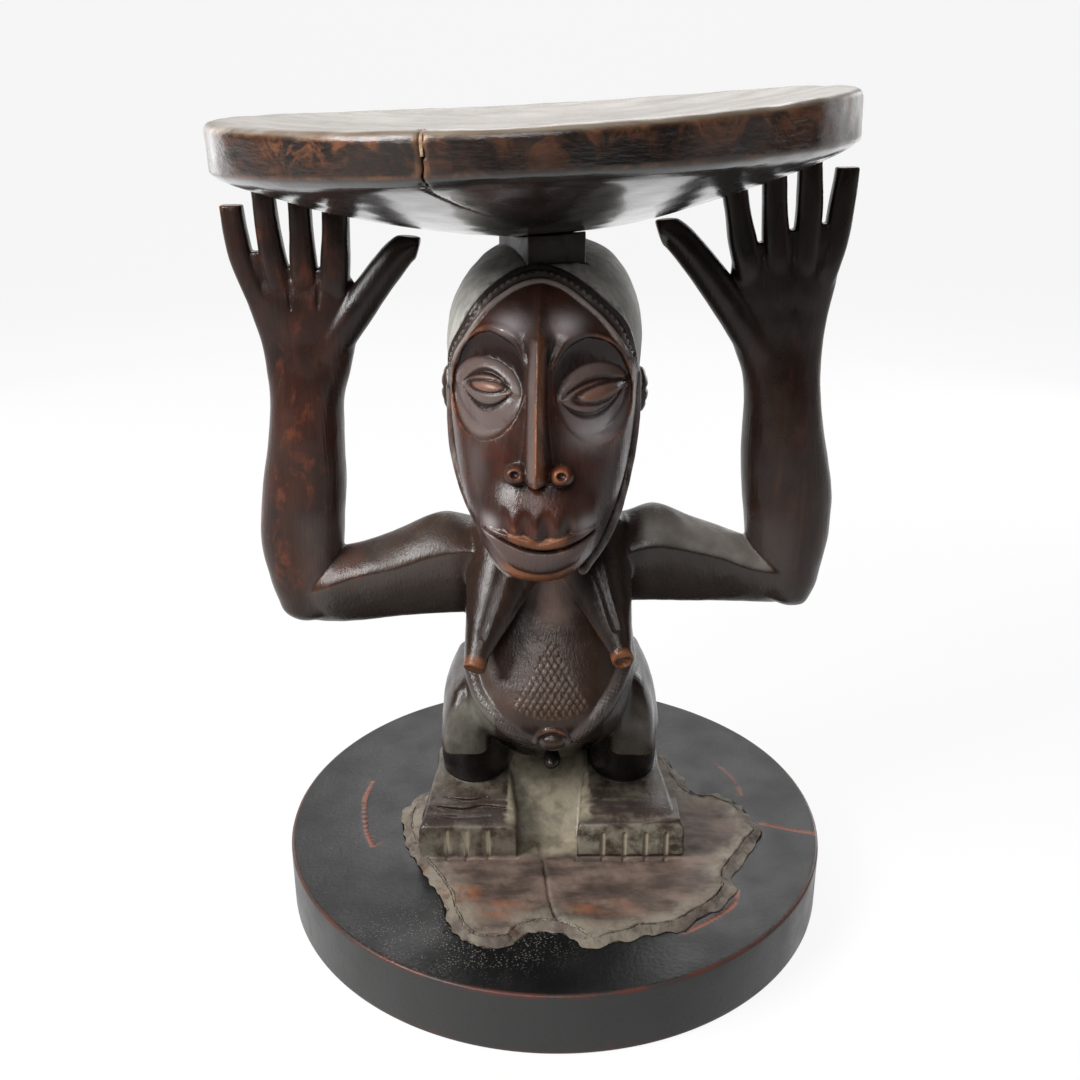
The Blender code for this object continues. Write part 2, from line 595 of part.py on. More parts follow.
def make_head(home):
    """The head in its own frame, from the chin up, then turned a little on the neck."""
    matrix = Matrix.Translation(on_figure(chin_rise())) @ Matrix.Rotation(-HEAD_TURN, 4, "Z")
    rows = [
        (rise * HEAD_HEIGHT, 0, half * HEAD_HALF, front, back)
        for rise, half, front, back in (
            (0.016, 0.320, -0.096, -0.060), (0.033, 0.400, -0.098, -0.050), (0.078, 0.555, -0.100, -0.032),
            (0.163, 0.705, -0.100, -0.010), (0.294, 0.850, -0.096, 0.014), (0.444, 0.935, -0.090, 0.032),
            (0.601, 0.985, -0.084, 0.044), (0.732, 1.000, -0.078, 0.051), (0.837, 0.930, -0.069, 0.053),
            (0.915, 0.775, -0.055, 0.050), (0.967, 0.585, -0.038, 0.043), (1.000, 0.320, -0.020, 0.031),
        )
    ]
    skull = [
        ((0, (front + back) / 2, rise), half, (back - front) / 2)
        for rise, _, half, front, back in rows
    ]
    head = loft("skull", skull, (1, 0, 0), home, power=HEAD_POWER, sides=48, level=True)
    sockets = [
        ball("socket", mirrored((EYE_OUT, -0.0885, EYE_RISE - 0.004), side), (0.0175, 0.0180, 0.0205), home)
        for side in (LEFT, RIGHT)
    ]
    for socket in sockets:
        boolean(head, socket, "DIFFERENCE")
    head = settled(head, "skull", home)
    for socket in sockets:
        bpy.data.objects.remove(socket)
    head.matrix_world = matrix
    pieces = [head]
    nose = [
        ((0, -0.078, BROW_RISE - 0.002), 0.0030, 0.0055),
        ((0, -0.086, (BROW_RISE + NOSE_RISE) / 2), 0.0042, 0.0075),
        ((0, -0.094, NOSE_RISE + 0.004), 0.0070, 0.0100),
        ((0, -0.094, NOSE_RISE - 0.003), 0.0050, 0.0070),
    ]
    pieces.append(loft("nose", nose, (1, 0, 0), home, matrix=matrix))
    for side in (LEFT, RIGHT):
        eye = mirrored((EYE_OUT, -0.0700, EYE_RISE), side)
        pieces.append(ball("eye", eye, (0.0128, 0.0068, 0.0068), home, matrix))
        nostril = mirrored((0.0095, -0.095, NOSE_RISE + 0.002), side)
        pieces.append(ball("nostril", nostril, (0.0055, 0.0060, 0.0048), home, matrix))
        ear = mirrored((HEAD_HALF, -0.020, EYE_RISE - 0.0115), side)
        pieces.append(ball("ear", ear, (0.0042, 0.0070, 0.0120), home, matrix))
        brow = ((0.037, -0.061, -0.010), (0.0235, -0.0695, 0.0015), (0.008, -0.0805, -0.009))
        brow = [mirrored((x, y, BROW_RISE + rise), side) for x, y, rise in brow]
        pieces.append(tube("brow", brow, 0.0030, home, matrix))
    lips = (("upper_lip", 0.002, 0.027, 0.0036), ("lower_lip", -0.0055, 0.025, 0.0042))
    for name, lift, reach, radius in lips:
        lip = [
            (reach * share, -0.1015 + 0.019 * share**2, MOUTH_RISE + lift + 0.006 * share**2)
            for share in (-1, -0.5, 0, 0.5, 1)
        ]
        pieces.append(tube(name, lip, radius, home, matrix))
    for side in (LEFT, RIGHT):
        frame = ((0.32, -0.077, 0.0), (0.60, -0.062, 0.11), (0.83, -0.050, 0.22), (0.92, -0.041, 0.32))
        frame += ((0.95, -0.036, 0.42), (0.945, -0.038, 0.58), (0.85, -0.044, 0.68))
        frame = [mirrored((x * HEAD_HALF, y, rise * HEAD_HEIGHT), side) for x, y, rise in frame]
        pieces.append(tube("face_frame", frame, DIADEM_RADIUS * 0.8, home, matrix))
    inner = ((0.85, 0.68), (0.72, 0.755), (0.54, 0.833), (0.36, 0.880), (0.19, 0.908), (0, 0.918))
    outer = ((0.90, 0.68), (0.82, 0.745), (0.605, 0.853), (0.34, 0.925), (0.17, 0.945), (0, 0.950))
    for name, arch in (("diadem", inner), ("diadem_back", outer)):
        arch = [(x * HEAD_HALF, rise * HEAD_HEIGHT) for x, rise in arch]
        right = [(x, skin_front(rows, HEAD_POWER, rise, x), rise) for x, rise in arch]
        left = [mirrored(point, LEFT) for point in right[:-1]]
        pieces.append(tube(name, left + right[::-1], DIADEM_RADIUS, home, matrix))
    return pieces


def joined(name, pieces, home):
    """One object that holds all these closed meshes; the pieces go."""
    bm = bmesh.new()
    for piece in pieces:
        bpy.context.view_layer.update()
        mesh = piece.data.copy()
        mesh.transform(piece.matrix_world)
        bm.from_mesh(mesh)
        bpy.data.meshes.remove(mesh)
        bpy.data.objects.remove(piece)
    return from_bmesh(name, bm, home)


def fused(name, pieces, home):
    """One skin over all these pieces, blended where they meet and thinned to the faces it needs."""
    block = joined(name, pieces, home)
    remesh = block.modifiers.new("Fuse", "REMESH")
    remesh.mode = "VOXEL"
    remesh.voxel_size = CARVING_STEP
    smooth = block.modifiers.new("Ease", "SMOOTH")
    smooth.factor = 0.5
    smooth.iterations = 2
    block = settled(block, name, home)
    thin = block.modifiers.new("Thin", "DECIMATE")
    thin.ratio = CARVING_TRIANGLES / (2 * len(block.data.polygons))
    return settled(block, name, home)


def screw_places():
    """The middles of the screw heads, under the disc."""
    for side in (LEFT, RIGHT):
        for y in (SCREW_FRONT_Y, SCREW_BACK_Y):
            middle = on_figure(0, side * LEG_OUT, y)
            yield Vector((middle.x, middle.y, SCREW_SINK))


def screw_profile(gap):
    """Half section of a countersunk screw standing on its head, grown by a gap, from its point down."""
    shank = SCREW_SHANK_RADIUS + gap
    head = SCREW_HEAD_RADIUS + gap
    return [
        (0, SCREW_LENGTH + gap),
        (shank, SCREW_LENGTH - SCREW_POINT + gap),
        (shank, SCREW_HEAD_HEIGHT + gap),
        (head, gap),
    ]


def screw_tool(name, ending, tools):
    """A cutter for all the screws, a gap wider than they are; ending closes its profile under the heads."""
    holes = []
    for middle in screw_places():
        hole = turned(name, screw_profile(FIT) + ending, tools, SCREW_SIDES)
        hole.location = middle
        holes.append(hole)
    return joined(name, holes, tools)


def make_figure(parts, tools):
    pieces = make_legs(tools) + make_torso(tools) + make_head(tools)
    pieces += make_arm(tools, LEFT, ELBOW_RISE_RIGHT_HAND, WRIST_RISE_RIGHT_HAND)
    pieces += make_arm(tools, RIGHT, ELBOW_RISE_LEFT_HAND, WRIST_RISE_LEFT_HAND)
    figure = fused("caryatid_figure", pieces, parts)
    low = (-POST_OUT_LEFT, POST_FRONT, -POST_DOWN)
    high = (POST_OUT_RIGHT, POST_BACK, SEAT_BELLY)
    post = box("crown_post", low, high, tools, post_matrix())
    boolean(figure, post, "UNION")
    boolean(figure, seat_blank("seat_bearing", tools, FIT), "DIFFERENCE")
    boolean(figure, tenon_box("tenon", tools, 0, TENON_LENGTH), "UNION")
    plate = slab("plinth_remnant", PLATE_OUTLINE, PLATE_TOP - PLATE_THICKNESS, PLATE_TOP, tools)
    boolean(figure, plate, "UNION")
    boolean(figure, screw_tool("pilot_holes", [(0, FIT)], tools), "DIFFERENCE")
    return figure


# Base
def make_base(parts, tools):
    edge = DISC_EDGE
    round_steps = 3
    profile = [(0, DISC_THICKNESS)]
    for step in range(round_steps + 1):
        angle = math.pi / 2 * step / round_steps
        across = DISC_RADIUS - edge + edge * math.sin(angle)
        profile.append((across, DISC_THICKNESS - edge + edge * math.cos(angle)))
    profile += [(DISC_FOOT_RADIUS, edge), (DISC_FOOT_RADIUS - edge, 0), (0, 0)]
    disc = turned("base_disc", profile, parts, DISC_SIDES)
    floor = DISC_THICKNESS - RECESS_DEPTH
    past = DISC_THICKNESS + RECESS_DEPTH
    recess_outline = grown(PLATE_OUTLINE, PUTTY_WIDTH + 2 * FIT)
    boolean(disc, slab("recess", recess_outline, floor, past, tools), "DIFFERENCE")
    below = -2 * (SCREW_SINK + FIT)
    heads = [(SCREW_HEAD_RADIUS + FIT, below), (0, below)]
    boolean(disc, screw_tool("screw_holes", heads, tools), "DIFFERENCE")
    putty_outline = grown(PLATE_OUTLINE, PUTTY_WIDTH + FIT)
    putty = slab("putty_bed", putty_outline, floor + FIT, DISC_THICKNESS + PUTTY_PROUD, parts)
    inside = slab("putty_inside", grown(PLATE_OUTLINE, FIT), floor - RECESS_DEPTH, past, tools)
    boolean(putty, inside, "DIFFERENCE")
    return disc, putty


def make_screws(parts, tools):
    screws = []
    for number, middle in enumerate(screw_places(), 1):
        screw = turned(f"base_screw_{number}", screw_profile(0) + [(0, 0)], parts, SCREW_SIDES)
        screw.location = middle
        half = SCREW_SLOT / 2
        reach = 2 * SCREW_HEAD_RADIUS
        slot = box(f"driver_slot_{number}", (-reach, -half, -reach), (reach, half, SCREW_SLOT), tools)
        slot.location = middle
        boolean(screw, slot, "DIFFERENCE")
        screws.append(screw)
    return screws


def finish(name, colour, roughness, metallic=0.0):
    material = bpy.data.materials.new(name)
    material.use_nodes = True
    shader = material.node_tree.nodes["Principled BSDF"]
    shader.inputs["Base Color"].default_value = (*colour, 1)
    shader.inputs["Roughness"].default_value = roughness
    shader.inputs["Metallic"].default_value = metallic
    material.diffuse_color = (*colour, 1)
    return material


def main():
    for old in list(bpy.data.objects):
        bpy.data.objects.remove(old)
    parts = collection("carved_stool")
    tools = collection("cutters")
    seat, fill = make_seat(parts, tools)
    figure = make_figure(parts, tools)
    disc, putty = make_base(parts, tools)
    screws = make_screws(parts, tools)
    dark_wood = finish("dark_wood", (0.055, 0.024, 0.015), 0.35)
    black_wood = finish("black_wood", (0.012, 0.011, 0.010), 0.40)
    grey_putty = finish("grey_putty", (0.190, 0.175, 0.135), 0.85)
    tan_filler = finish("tan_filler", (0.360, 0.210, 0.110), 0.70)
    steel = finish("screw_steel", (0.420, 0.410, 0.390), 0.45, 1.0)
    wooden = ((seat, dark_wood), (figure, dark_wood), (disc, black_wood))
    filled = ((putty, grey_putty), (fill, tan_filler))
    for piece, material in wooden + filled:
        piece.data.materials.append(material)
    for screw in screws:
        screw.data.materials.append(steel)
    for piece in (seat, figure, disc, putty, *screws):
        piece.data.shade_smooth()
        piece.data.set_sharp_from_angle(angle=math.radians(35))


main()
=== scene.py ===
"""Looks of the carved stool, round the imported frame. Metres, +Z up; carving is measured in millimetres."""

import math
from collections import namedtuple
from concurrent.futures import ThreadPoolExecutor

import bpy
import numpy as np
import openvdb
from mathutils import Matrix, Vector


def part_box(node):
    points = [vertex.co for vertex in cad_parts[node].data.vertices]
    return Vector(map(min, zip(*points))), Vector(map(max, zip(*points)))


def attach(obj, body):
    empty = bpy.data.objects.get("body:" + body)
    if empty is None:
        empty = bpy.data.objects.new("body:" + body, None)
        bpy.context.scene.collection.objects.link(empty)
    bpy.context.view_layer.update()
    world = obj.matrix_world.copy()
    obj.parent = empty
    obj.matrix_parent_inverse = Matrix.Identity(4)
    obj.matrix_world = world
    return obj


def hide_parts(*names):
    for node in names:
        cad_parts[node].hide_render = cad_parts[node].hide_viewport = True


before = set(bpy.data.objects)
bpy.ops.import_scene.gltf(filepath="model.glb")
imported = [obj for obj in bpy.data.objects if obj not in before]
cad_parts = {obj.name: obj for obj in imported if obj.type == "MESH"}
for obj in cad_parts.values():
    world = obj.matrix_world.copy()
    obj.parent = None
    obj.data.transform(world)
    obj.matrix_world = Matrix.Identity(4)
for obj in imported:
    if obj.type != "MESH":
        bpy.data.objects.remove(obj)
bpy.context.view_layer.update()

# Base disc
# A later turned disc of hardwood, stained black, that the broken old carving was let into.
# Its top has a recess for the plinth, and its edges are rubbed back to red-brown wood.
MM = 0.001
MARGIN = 6.0
SLAB = 24
FAR = 50.0
CHUNKS = 30
Shape = namedtuple("Shape", "low high distance")


def soft_min(a, b, blend):
    """The lower of two distances, eased into each other over a width."""
    if blend <= 0:
        return np.minimum(a, b)
    overlap = np.maximum(blend - np.abs(a - b), 0) / blend
    return np.minimum(a, b) - overlap * overlap * (blend / 4)


def soft_max(a, b, blend):
    """The higher of two distances, eased in the same way."""
    return -soft_min(-a, -b, blend)


def struck(found, gap, blend, sign):
    """Distances after one stroke: above zero adds, below zero cuts, zero lifts."""
    if sign > 0:
        return soft_min(found, gap, blend)
    if sign < 0:
        return -soft_min(-found, gap, blend)
    return found - gap


def new_object(name, data):
    """A new object in the scene."""
    made = bpy.data.objects.new(name, data)
    bpy.context.scene.collection.objects.link(made)
    return made


class Block:
    """A block of material on a fine grid of distances to its surface, below zero inside."""

    def __init__(self, low, high, step):
        self.low = np.array(low, float)
        self.step = step
        self.count = [int((b - a) / step) + 2 for a, b in zip(low, high)]
        self.strokes = []

    def add(self, shape, blend=1.0):
        self.strokes.append((shape, blend, 1))

    def cut(self, shape, blend=1.0):
        self.strokes.append((shape, blend, -1))

    def lift(self, low, high, height):
        """Raises the surface by height(x, y, z) between two corners."""
        self.strokes.append((Shape(low, high, height), 0, 0))

    def carve(self, first):
        """Distances on one slab of the grid, after every stroke that reaches it."""
        last = min(first + SLAB, self.count[0])
        field = np.full((last - first, *self.count[1:]), 5 * MARGIN, "f4")
        for shape, blend, sign in self.strokes:
            reach = blend + MARGIN if sign else 0
            low = np.floor((np.array(shape.low) - reach - self.low) / self.step).astype(int)
            high = np.ceil((np.array(shape.high) + reach - self.low) / self.step).astype(int) + 1
            low = np.maximum(low, (first, 0, 0))
            high = np.minimum(high, (last, *self.count[1:]))
            if (low >= high).any():
                continue
            x, y, z = np.ogrid[low[0]:high[0], low[1]:high[1], low[2]:high[2]]
            x = (x * self.step + self.low[0]).astype("f4")
            y = (y * self.step + self.low[1]).astype("f4")
            z = (z * self.step + self.low[2]).astype("f4")
            part = field[low[0] - first:high[0] - first, low[1]:high[1], low[2]:high[2]]
            part[:] = struck(part, shape.distance(x, y, z), blend, sign)
        return np.clip(field, -3 * self.step, 3 * self.step)

    def field(self, x, y, z):
        """Distances at any points, after the strokes so far."""
        found = np.full(np.broadcast(x, y, z).shape, 5 * MARGIN)
        for shape, blend, sign in self.strokes:
            gap = shape.distance(x, y, z)
            if not sign:
                for p, low, high in zip((x, y, z), shape.low, shape.high):
                    gap = gap * ((p >= low) & (p <= high))
            found = struck(found, gap, blend, sign)
        return found

    def piece(self, name, origin, faces, unevenness=None):
        """The surface as an object, made uneven along its normals and thinned to a number of triangles."""
        starts = range(0, self.count[0], SLAB)
        grid = openvdb.FloatGrid(background=3 * self.step)
        with ThreadPoolExecutor() as pool:
            for start, field in zip(starts, pool.map(self.carve, starts)):
                grid.copyFromArray(np.ascontiguousarray(field, "f4"), ijk=(start, 0, 0))
        points, quads = grid.convertToQuads(0.0)
        points = points * self.step + self.low
        mesh = bpy.data.meshes.new(name)
        mesh.vertices.add(len(points))
        mesh.vertices.foreach_set("co", points.astype("f4").ravel())
        mesh.loops.add(quads.size)
        mesh.loops.foreach_set("vertex_index", quads.astype("i4").ravel())
        mesh.polygons.add(len(quads))
        mesh.polygons.foreach_set("loop_start", np.arange(0, quads.size, 4, dtype="i4"))
        mesh.update(calc_edges=True)
        if unevenness:
            normals = np.empty(len(points) * 3, "f4")
            mesh.vertex_normals.foreach_get("vector", normals)
            points = points + normals.reshape(-1, 3) * unevenness(points)[:, None]
        points = points * MM + np.array(origin)
        mesh.vertices.foreach_set("co", points.astype("f4").ravel())
        rough = new_object(name, mesh)
        thin = rough.modifiers.new("Thin", "DECIMATE")
        thin.ratio = min(1, faces / (2 * len(quads)))
        bpy.context.view_layer.update()
        final = bpy.data.meshes.new_from_object(rough.evaluated_get(bpy.context.evaluated_depsgraph_get()))
        bpy.data.objects.remove(rough)
        bpy.data.meshes.remove(mesh)
        final.name = name
        final.shade_smooth()
        return new_object(name, final)


def ripple(points, length, seed, waves=9):
    """A smooth unevenness of about one, from a few seeded waves of one length."""
    draw = np.random.default_rng(seed)
    turns = draw.normal(size=(waves, 3))
    turns /= np.linalg.norm(turns, axis=1)[:, None]
    phases = draw.uniform(0, 2 * math.pi, waves)
    return np.sin(points @ (turns.T * (2 * math.pi / length)) + phases).mean(axis=1) * 2


def ease(value, low, high):
    """0 below low, 1 above high, smooth between."""
    share = np.clip((value - low) / (high - low), 0, 1)
    return share * share * (3 - 2 * share)


def drum(middle, radius, low, high, edge):
    """An upright round slab."""
    def distance(x, y, z):
        side = np.hypot(x - middle[0], y - middle[1]) - radius
        return soft_max(side, np.maximum(low - z, z - high), edge)

    x, y = middle
    return Shape((x - radius, y - radius, low), (x + radius, y + radius, high), distance)


def outline_gap(outline):
    """Distance from an outline as seen from above, below zero inside it."""
    corners = np.array(outline, "f4")

    def gap(x, y):
        nearest, inside = 1e9, 1.0
        for (ax, ay), (bx, by) in zip(corners, np.roll(corners, -1, axis=0)):
            ex, ey = bx - ax, by - ay
            along = np.clip(((x - ax) * ex + (y - ay) * ey) / (ex * ex + ey * ey), 0, 1)
            nearest = np.minimum(nearest, (x - ax - along * ex) ** 2 + (y - ay - along * ey) ** 2)
            above = (ay <= y) != (by <= y)
            left = (x - ax) < (y - ay) * ex / (ey if ey else 1e-9)
            inside = np.where(above & left, -inside, inside)
        return np.sqrt(nearest) * inside

    return gap


def prism(outline, low, high, edge):
    """An upright slab with any outline."""
    gap = outline_gap(outline)
    corners = np.array(outline)
    return Shape(
        (*corners.min(axis=0), low), (*corners.max(axis=0), high),
        lambda x, y, z: soft_max(gap(x, y), np.maximum(low - z, z - high), edge),
    )


def bar(points, radii, squeeze=(1, 1, 1)):
    """A rod through points, with a radius at each; squeeze over 1 makes it thinner along an axis."""
    points = np.array(points, float)
    radii = np.broadcast_to(np.array(radii, float), len(points))
    sx, sy, sz = squeeze

    def distance(x, y, z):
        nearest = None
        for a, b, start, end in zip(points[:-1], points[1:], radii[:-1], radii[1:]):
            d = b - a
            along = ((x - a[0]) * d[0] + (y - a[1]) * d[1] + (z - a[2]) * d[2]) / (d @ d)
            along = np.clip(along, 0, 1)
            dx = (x - a[0] - along * d[0]) * sx
            dy = (y - a[1] - along * d[1]) * sy
            dz = (z - a[2] - along * d[2]) * sz
            gap = np.sqrt(dx * dx + dy * dy + dz * dz) - (start + along * (end - start))
            nearest = gap if nearest is None else np.minimum(nearest, gap)
        return nearest

    reach = radii.max()
    return Shape(points.min(axis=0) - reach, points.max(axis=0) + reach, distance)


def curve(points, steps=5):
    """More points on a smooth line through these ones."""
    points = np.array(points, float)
    padded = np.vstack([2 * points[0] - points[1], points, 2 * points[-1] - points[-2]])
    line = []
    for a, b, c, d in zip(padded[:-3], padded[1:-2], padded[2:-1], padded[3:]):
        for t in np.linspace(0, 1, steps, endpoint=False):
            line.append(0.5 * (
                2 * b + (c - a) * t + (2 * a - 5 * b + 4 * c - d) * t**2 + (3 * b - a - 3 * c + d) * t**3
            ))
    return np.array(line + [points[-1]])


class Finish:
    """A procedural material: its nodes are made and joined by short calls."""

    def __init__(self, name):
        self.material = bpy.data.materials.new(name)
        self.material.use_nodes = True
        self.tree = self.material.node_tree
        self.shader = self.tree.nodes["Principled BSDF"]
        self.place = self.tree.nodes.new("ShaderNodeTexCoord").outputs["Object"]

    def put(self, socket, value):
        if isinstance(value, bpy.types.NodeSocket):
            self.tree.links.new(value, socket)
        elif isinstance(value, tuple) and len(value) == 3 and socket.type == "RGBA":
            socket.default_value = (*value, 1)
        else:
            socket.default_value = value

    def set(self, **inputs):
        for name, value in inputs.items():
            self.put(self.shader.inputs[name.replace("_", " ").title()], value)

    def math(self, operation, a, b):
        node = self.tree.nodes.new("ShaderNodeMath")
        node.operation = operation
        self.put(node.inputs[0], a)
        self.put(node.inputs[1], b)
        return node.outputs[0]

    def noise(self, scale, stretch=(1, 1, 1), detail=4.0, roughness=0.55, warp=0.0):
        mapping = self.tree.nodes.new("ShaderNodeMapping")
        mapping.inputs["Scale"].default_value = stretch
        self.put(mapping.inputs["Vector"], self.place)
        node = self.tree.nodes.new("ShaderNodeTexNoise")
        self.put(node.inputs["Vector"], mapping.outputs[0])
        settings = {"Scale": scale, "Detail": detail, "Roughness": roughness, "Distortion": warp}
        for name, value in settings.items():
            node.inputs[name].default_value = value
        return node.outputs["Fac"]

    def specks(self, scale):
        node = self.tree.nodes.new("ShaderNodeTexVoronoi")
        node.inputs["Scale"].default_value = scale
        self.put(node.inputs["Vector"], self.place)
        return node.outputs["Distance"]

    def mask(self, name):
        node = self.tree.nodes.new("ShaderNodeAttribute")
        node.attribute_name = name
        return node.outputs["Fac"]

    def span(self, value, low, high, start=0.0, end=1.0):
        node = self.tree.nodes.new("ShaderNodeMapRange")
        node.interpolation_type = "SMOOTHSTEP"
        self.put(node.inputs["Value"], value)
        for name, number in (("From Min", low), ("From Max", high), ("To Min", start), ("To Max", end)):
            node.inputs[name].default_value = number
        return node.outputs["Result"]

    def blend(self, share, a, b):
        node = self.tree.nodes.new("ShaderNodeMix")
        node.data_type = "RGBA"
        self.put(node.inputs["Factor"], share)
        self.put(node.inputs[6], a)
        self.put(node.inputs[7], b)
        return node.outputs[2]

    def part(self, name, amount):
        """A mask, weakened by a number or a pattern."""
        return self.math("MULTIPLY", self.mask(name), amount)

    def ground(self, share, a, b):
        """Two colours of the bare material."""
        self.colour = self.blend(share, a, b)

    def wash(self, share, tone):
        """A colour over what is there so far, by a pattern."""
        self.colour = self.blend(share, self.colour, tone)

    def stain(self, name, amount, tone):
        """A colour over what is there so far, where a mask is, by a number or a pattern."""
        self.wash(self.part(name, amount), tone)

    def bump(self, height, distance):
        node = self.tree.nodes.new("ShaderNodeBump")
        node.inputs["Distance"].default_value = distance
        self.put(node.inputs["Height"], height)
        self.put(self.shader.inputs["Normal"], node.outputs["Normal"])


def points_of(piece):
    """A piece's points and normals, in metres."""
    mesh = piece.data
    points = np.empty(len(mesh.vertices) * 3, "f4")
    mesh.vertices.foreach_get("co", points)
    normals = np.empty_like(points)
    mesh.vertex_normals.foreach_get("vector", normals)
    return points.reshape(-1, 3), normals.reshape(-1, 3)


def store(piece, name, values):
    attribute = piece.data.attributes.new(name, "FLOAT", "POINT")
    attribute.data.foreach_set("value", np.asarray(values, "f4"))


def line_gap(places, line, pick):
    """Distance of the picked places from a line of close points; the others are far away."""
    gaps = np.full(len(places), FAR)
    for some in np.array_split(np.flatnonzero(pick), CHUNKS):
        gaps[some] = np.linalg.norm(places[some, None, :] - line[None], axis=2).min(axis=1)
    return gaps


def dress(piece, finish, node):
    """Gives a new piece its finish and slot, and lets it stand for a node of the frame."""
    piece.data.materials.clear()
    piece.data.materials.append(finish.material)
    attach(piece, "root")
    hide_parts(node)


disc_low, disc_high = (np.array(corner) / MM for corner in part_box("base_disc"))
disc_radius = disc_high[0]
disc_top = disc_high[2]
DISC_EDGE = 2.0
DISC_STEP, DISC_FACES = 0.7, 80000
RECESS_DEPTH = 8.0
PUTTY_WIDTH = 4.5
GAP = 0.3
FIGURE_X = -4.0
PUTTY_OUTLINE = curve(
    [
        (-62, 52), (-70.7, 27), (-82.8, 9), (-88, -6.4), (-84, -31.6), (-76, -51), (-68, -66),
        (-57.6, -87), (-53.3, -104), (-44.7, -117.8), (-32.4, -123.2), (-20.4, -122), (-12.9, -113),
        (-3.8, -110.3), (5.4, -111.5), (12.9, -116.5), (21.8, -123.2), (32.5, -120.5), (45, -115.6),
        (57.3, -113), (70, -110), (81.8, -100.5), (94.2, -89.7), (102, -78.5), (102.6, -64.4),
        (111.3, -51), (118, -40), (127.5, -24.3), (124.2, -12.5), (118.3, 6), (105.5, 17), (93, 18.7),
        (84, 37), (78, 61), (58, 78), (14, 94), (-40, 82), (-62, 52),
    ],
    4,
)[:-1]


def grown(outline, gap):
    """The outline moved outwards by a gap, one for all points or one for each."""
    along = np.roll(outline, -1, axis=0) - np.roll(outline, 1, axis=0)
    out = np.stack([-along[:, 1], along[:, 0]], axis=1) / np.linalg.norm(along, axis=1)[:, None]
    if ((outline - outline.mean(axis=0)) * out).sum() < 0:
        out = -out
    return outline + out * np.broadcast_to(gap, len(outline))[:, None]


def wander(count, size, seed):
    """A broken edge's ins and outs, one for each point of an outline."""
    draw = np.random.default_rng(seed).normal(size=count)
    return size * (draw + np.roll(draw, 1) + np.roll(draw, 2)) / 2


PLATE_OUTLINE = grown(grown(PUTTY_OUTLINE, -PUTTY_WIDTH), wander(len(PUTTY_OUTLINE), 0.5, 31))
plate_on_disc = PLATE_OUTLINE + np.array((FIGURE_X, 0))
putty_on_disc = grown(PUTTY_OUTLINE, wander(len(PUTTY_OUTLINE), 0.35, 32)) + np.array((FIGURE_X, 0))
SCREW_PLACES = [(x + FIGURE_X, y) for x in (-44.5, 44.5) for y in (-34, 14)]
SCREW_HOLE_RADIUS = 5.1
RUB_RISE = 0.9
RUBS = (
    ((-116.8, 33), (-119.3, 18), (-118.6, 4), (-114.2, -19.6), (-108.5, -35.7)),
    ((107.5, 54), (114.3, 42), (117.8, 28.5), (118.5, 18.6)),
    ((126, -13), (134, -15.5), (145, -20), (156, -23)),
    ((101.5, -78), (99, -87.5), (91, -96.5), (78.5, -106), (68, -112.5)),
)

disc = Block((*(disc_low[:2] - 2), -1), (*(disc_high[:2] + 2), disc_top + 1), DISC_STEP)
disc.add(drum((0, 0), disc_radius, 0, disc_top, DISC_EDGE))
disc.cut(prism(grown(putty_on_disc, GAP), disc_top - RECESS_DEPTH, disc_top + 9, 0.5), 0.5)
for place in SCREW_PLACES:
    disc.cut(drum(place, SCREW_HOLE_RADIUS, -9, 5, 0.3), 0.3)
for rub in RUBS:
    line = [(x, y, disc_top + RUB_RISE) for x, y in curve(rub)]
    disc.cut(bar(line, np.interp(range(len(line)), (0, 5, len(line) - 1), (1.2, 1.5, 1.2))), 0.3)


def lathe_marks(points):
    """The disc's faint waves, none on its underside."""
    return ease(points[:, 2], 0.5, 3) * (0.10 * ripple(points, 90, 3) + 0.05 * ripple(points, 24, 4))


base_disc = disc.piece("turned_base_disc", (0, 0, 0), DISC_FACES, lathe_marks)

points, normals = points_of(base_disc)
points = points / MM
height = points[:, 2]
radius = np.hypot(points[:, 0], points[:, 1])
rubbed = np.zeros(len(points))
for rub in RUBS:
    near = line_gap(points[:, :2], curve(rub), height > 0)
    rubbed = np.maximum(rubbed, ease(-near, -2.0, -1.2) * ease(height, disc_top - 2, disc_top - 1))
store(base_disc, "rubbed", rubbed)
edge_gap = np.hypot(disc_radius - radius, disc_top - height)
foot_gap = np.hypot(disc_radius - radius, height)
store(base_disc, "edge", np.maximum(ease(-edge_gap, -2.6, -0.6), 0.7 * ease(-foot_gap, -3.5, -0.8)))
# Painted sheen: the disc's upright side is painted a lighter grey than its top.
store(base_disc, "side", ease(radius, disc_radius - 2, disc_radius - 0.8))
speck_zone = np.hypot((points[:, 0] + 48) / 80, (points[:, 1] + 112) / 46)
on_top = ease(height, disc_top - 1, disc_top - 0.3)
store(base_disc, "speckled", ease(-speck_zone, -1.0, -0.3) * on_top)

black = Finish("black_stained_wood")
patches = black.span(black.noise(14, detail=6), 0.35, 0.7)
black.ground(patches, (0.0050, 0.0050, 0.0052), (0.011, 0.011, 0.0112))
# Painted sheen on the disc's side.
black.stain("side", 0.8, (0.046, 0.046, 0.045))
black.wash(black.span(black.noise(160, (1, 0.06, 1), 5), 0.55, 0.8, 0, 0.35), (0.026, 0.020, 0.017))
fleck = black.part("speckled", black.span(black.specks(700), 0.16, 0.38, 1, 0))
fleck = black.math("MULTIPLY", fleck, black.span(black.noise(130), 0.40, 0.52))
black.wash(black.math("MULTIPLY", fleck, 0.55), (0.30, 0.28, 0.24))
black.stain("edge", black.span(black.noise(55), 0.30, 0.62, 0, 0.75), (0.115, 0.033, 0.020))
black.stain("rubbed", black.span(black.noise(120), 0.25, 0.5), (0.17, 0.055, 0.030))
black.set(base_color=black.colour, roughness=black.span(black.noise(35, detail=7), 0.3, 0.75, 0.30, 0.46))
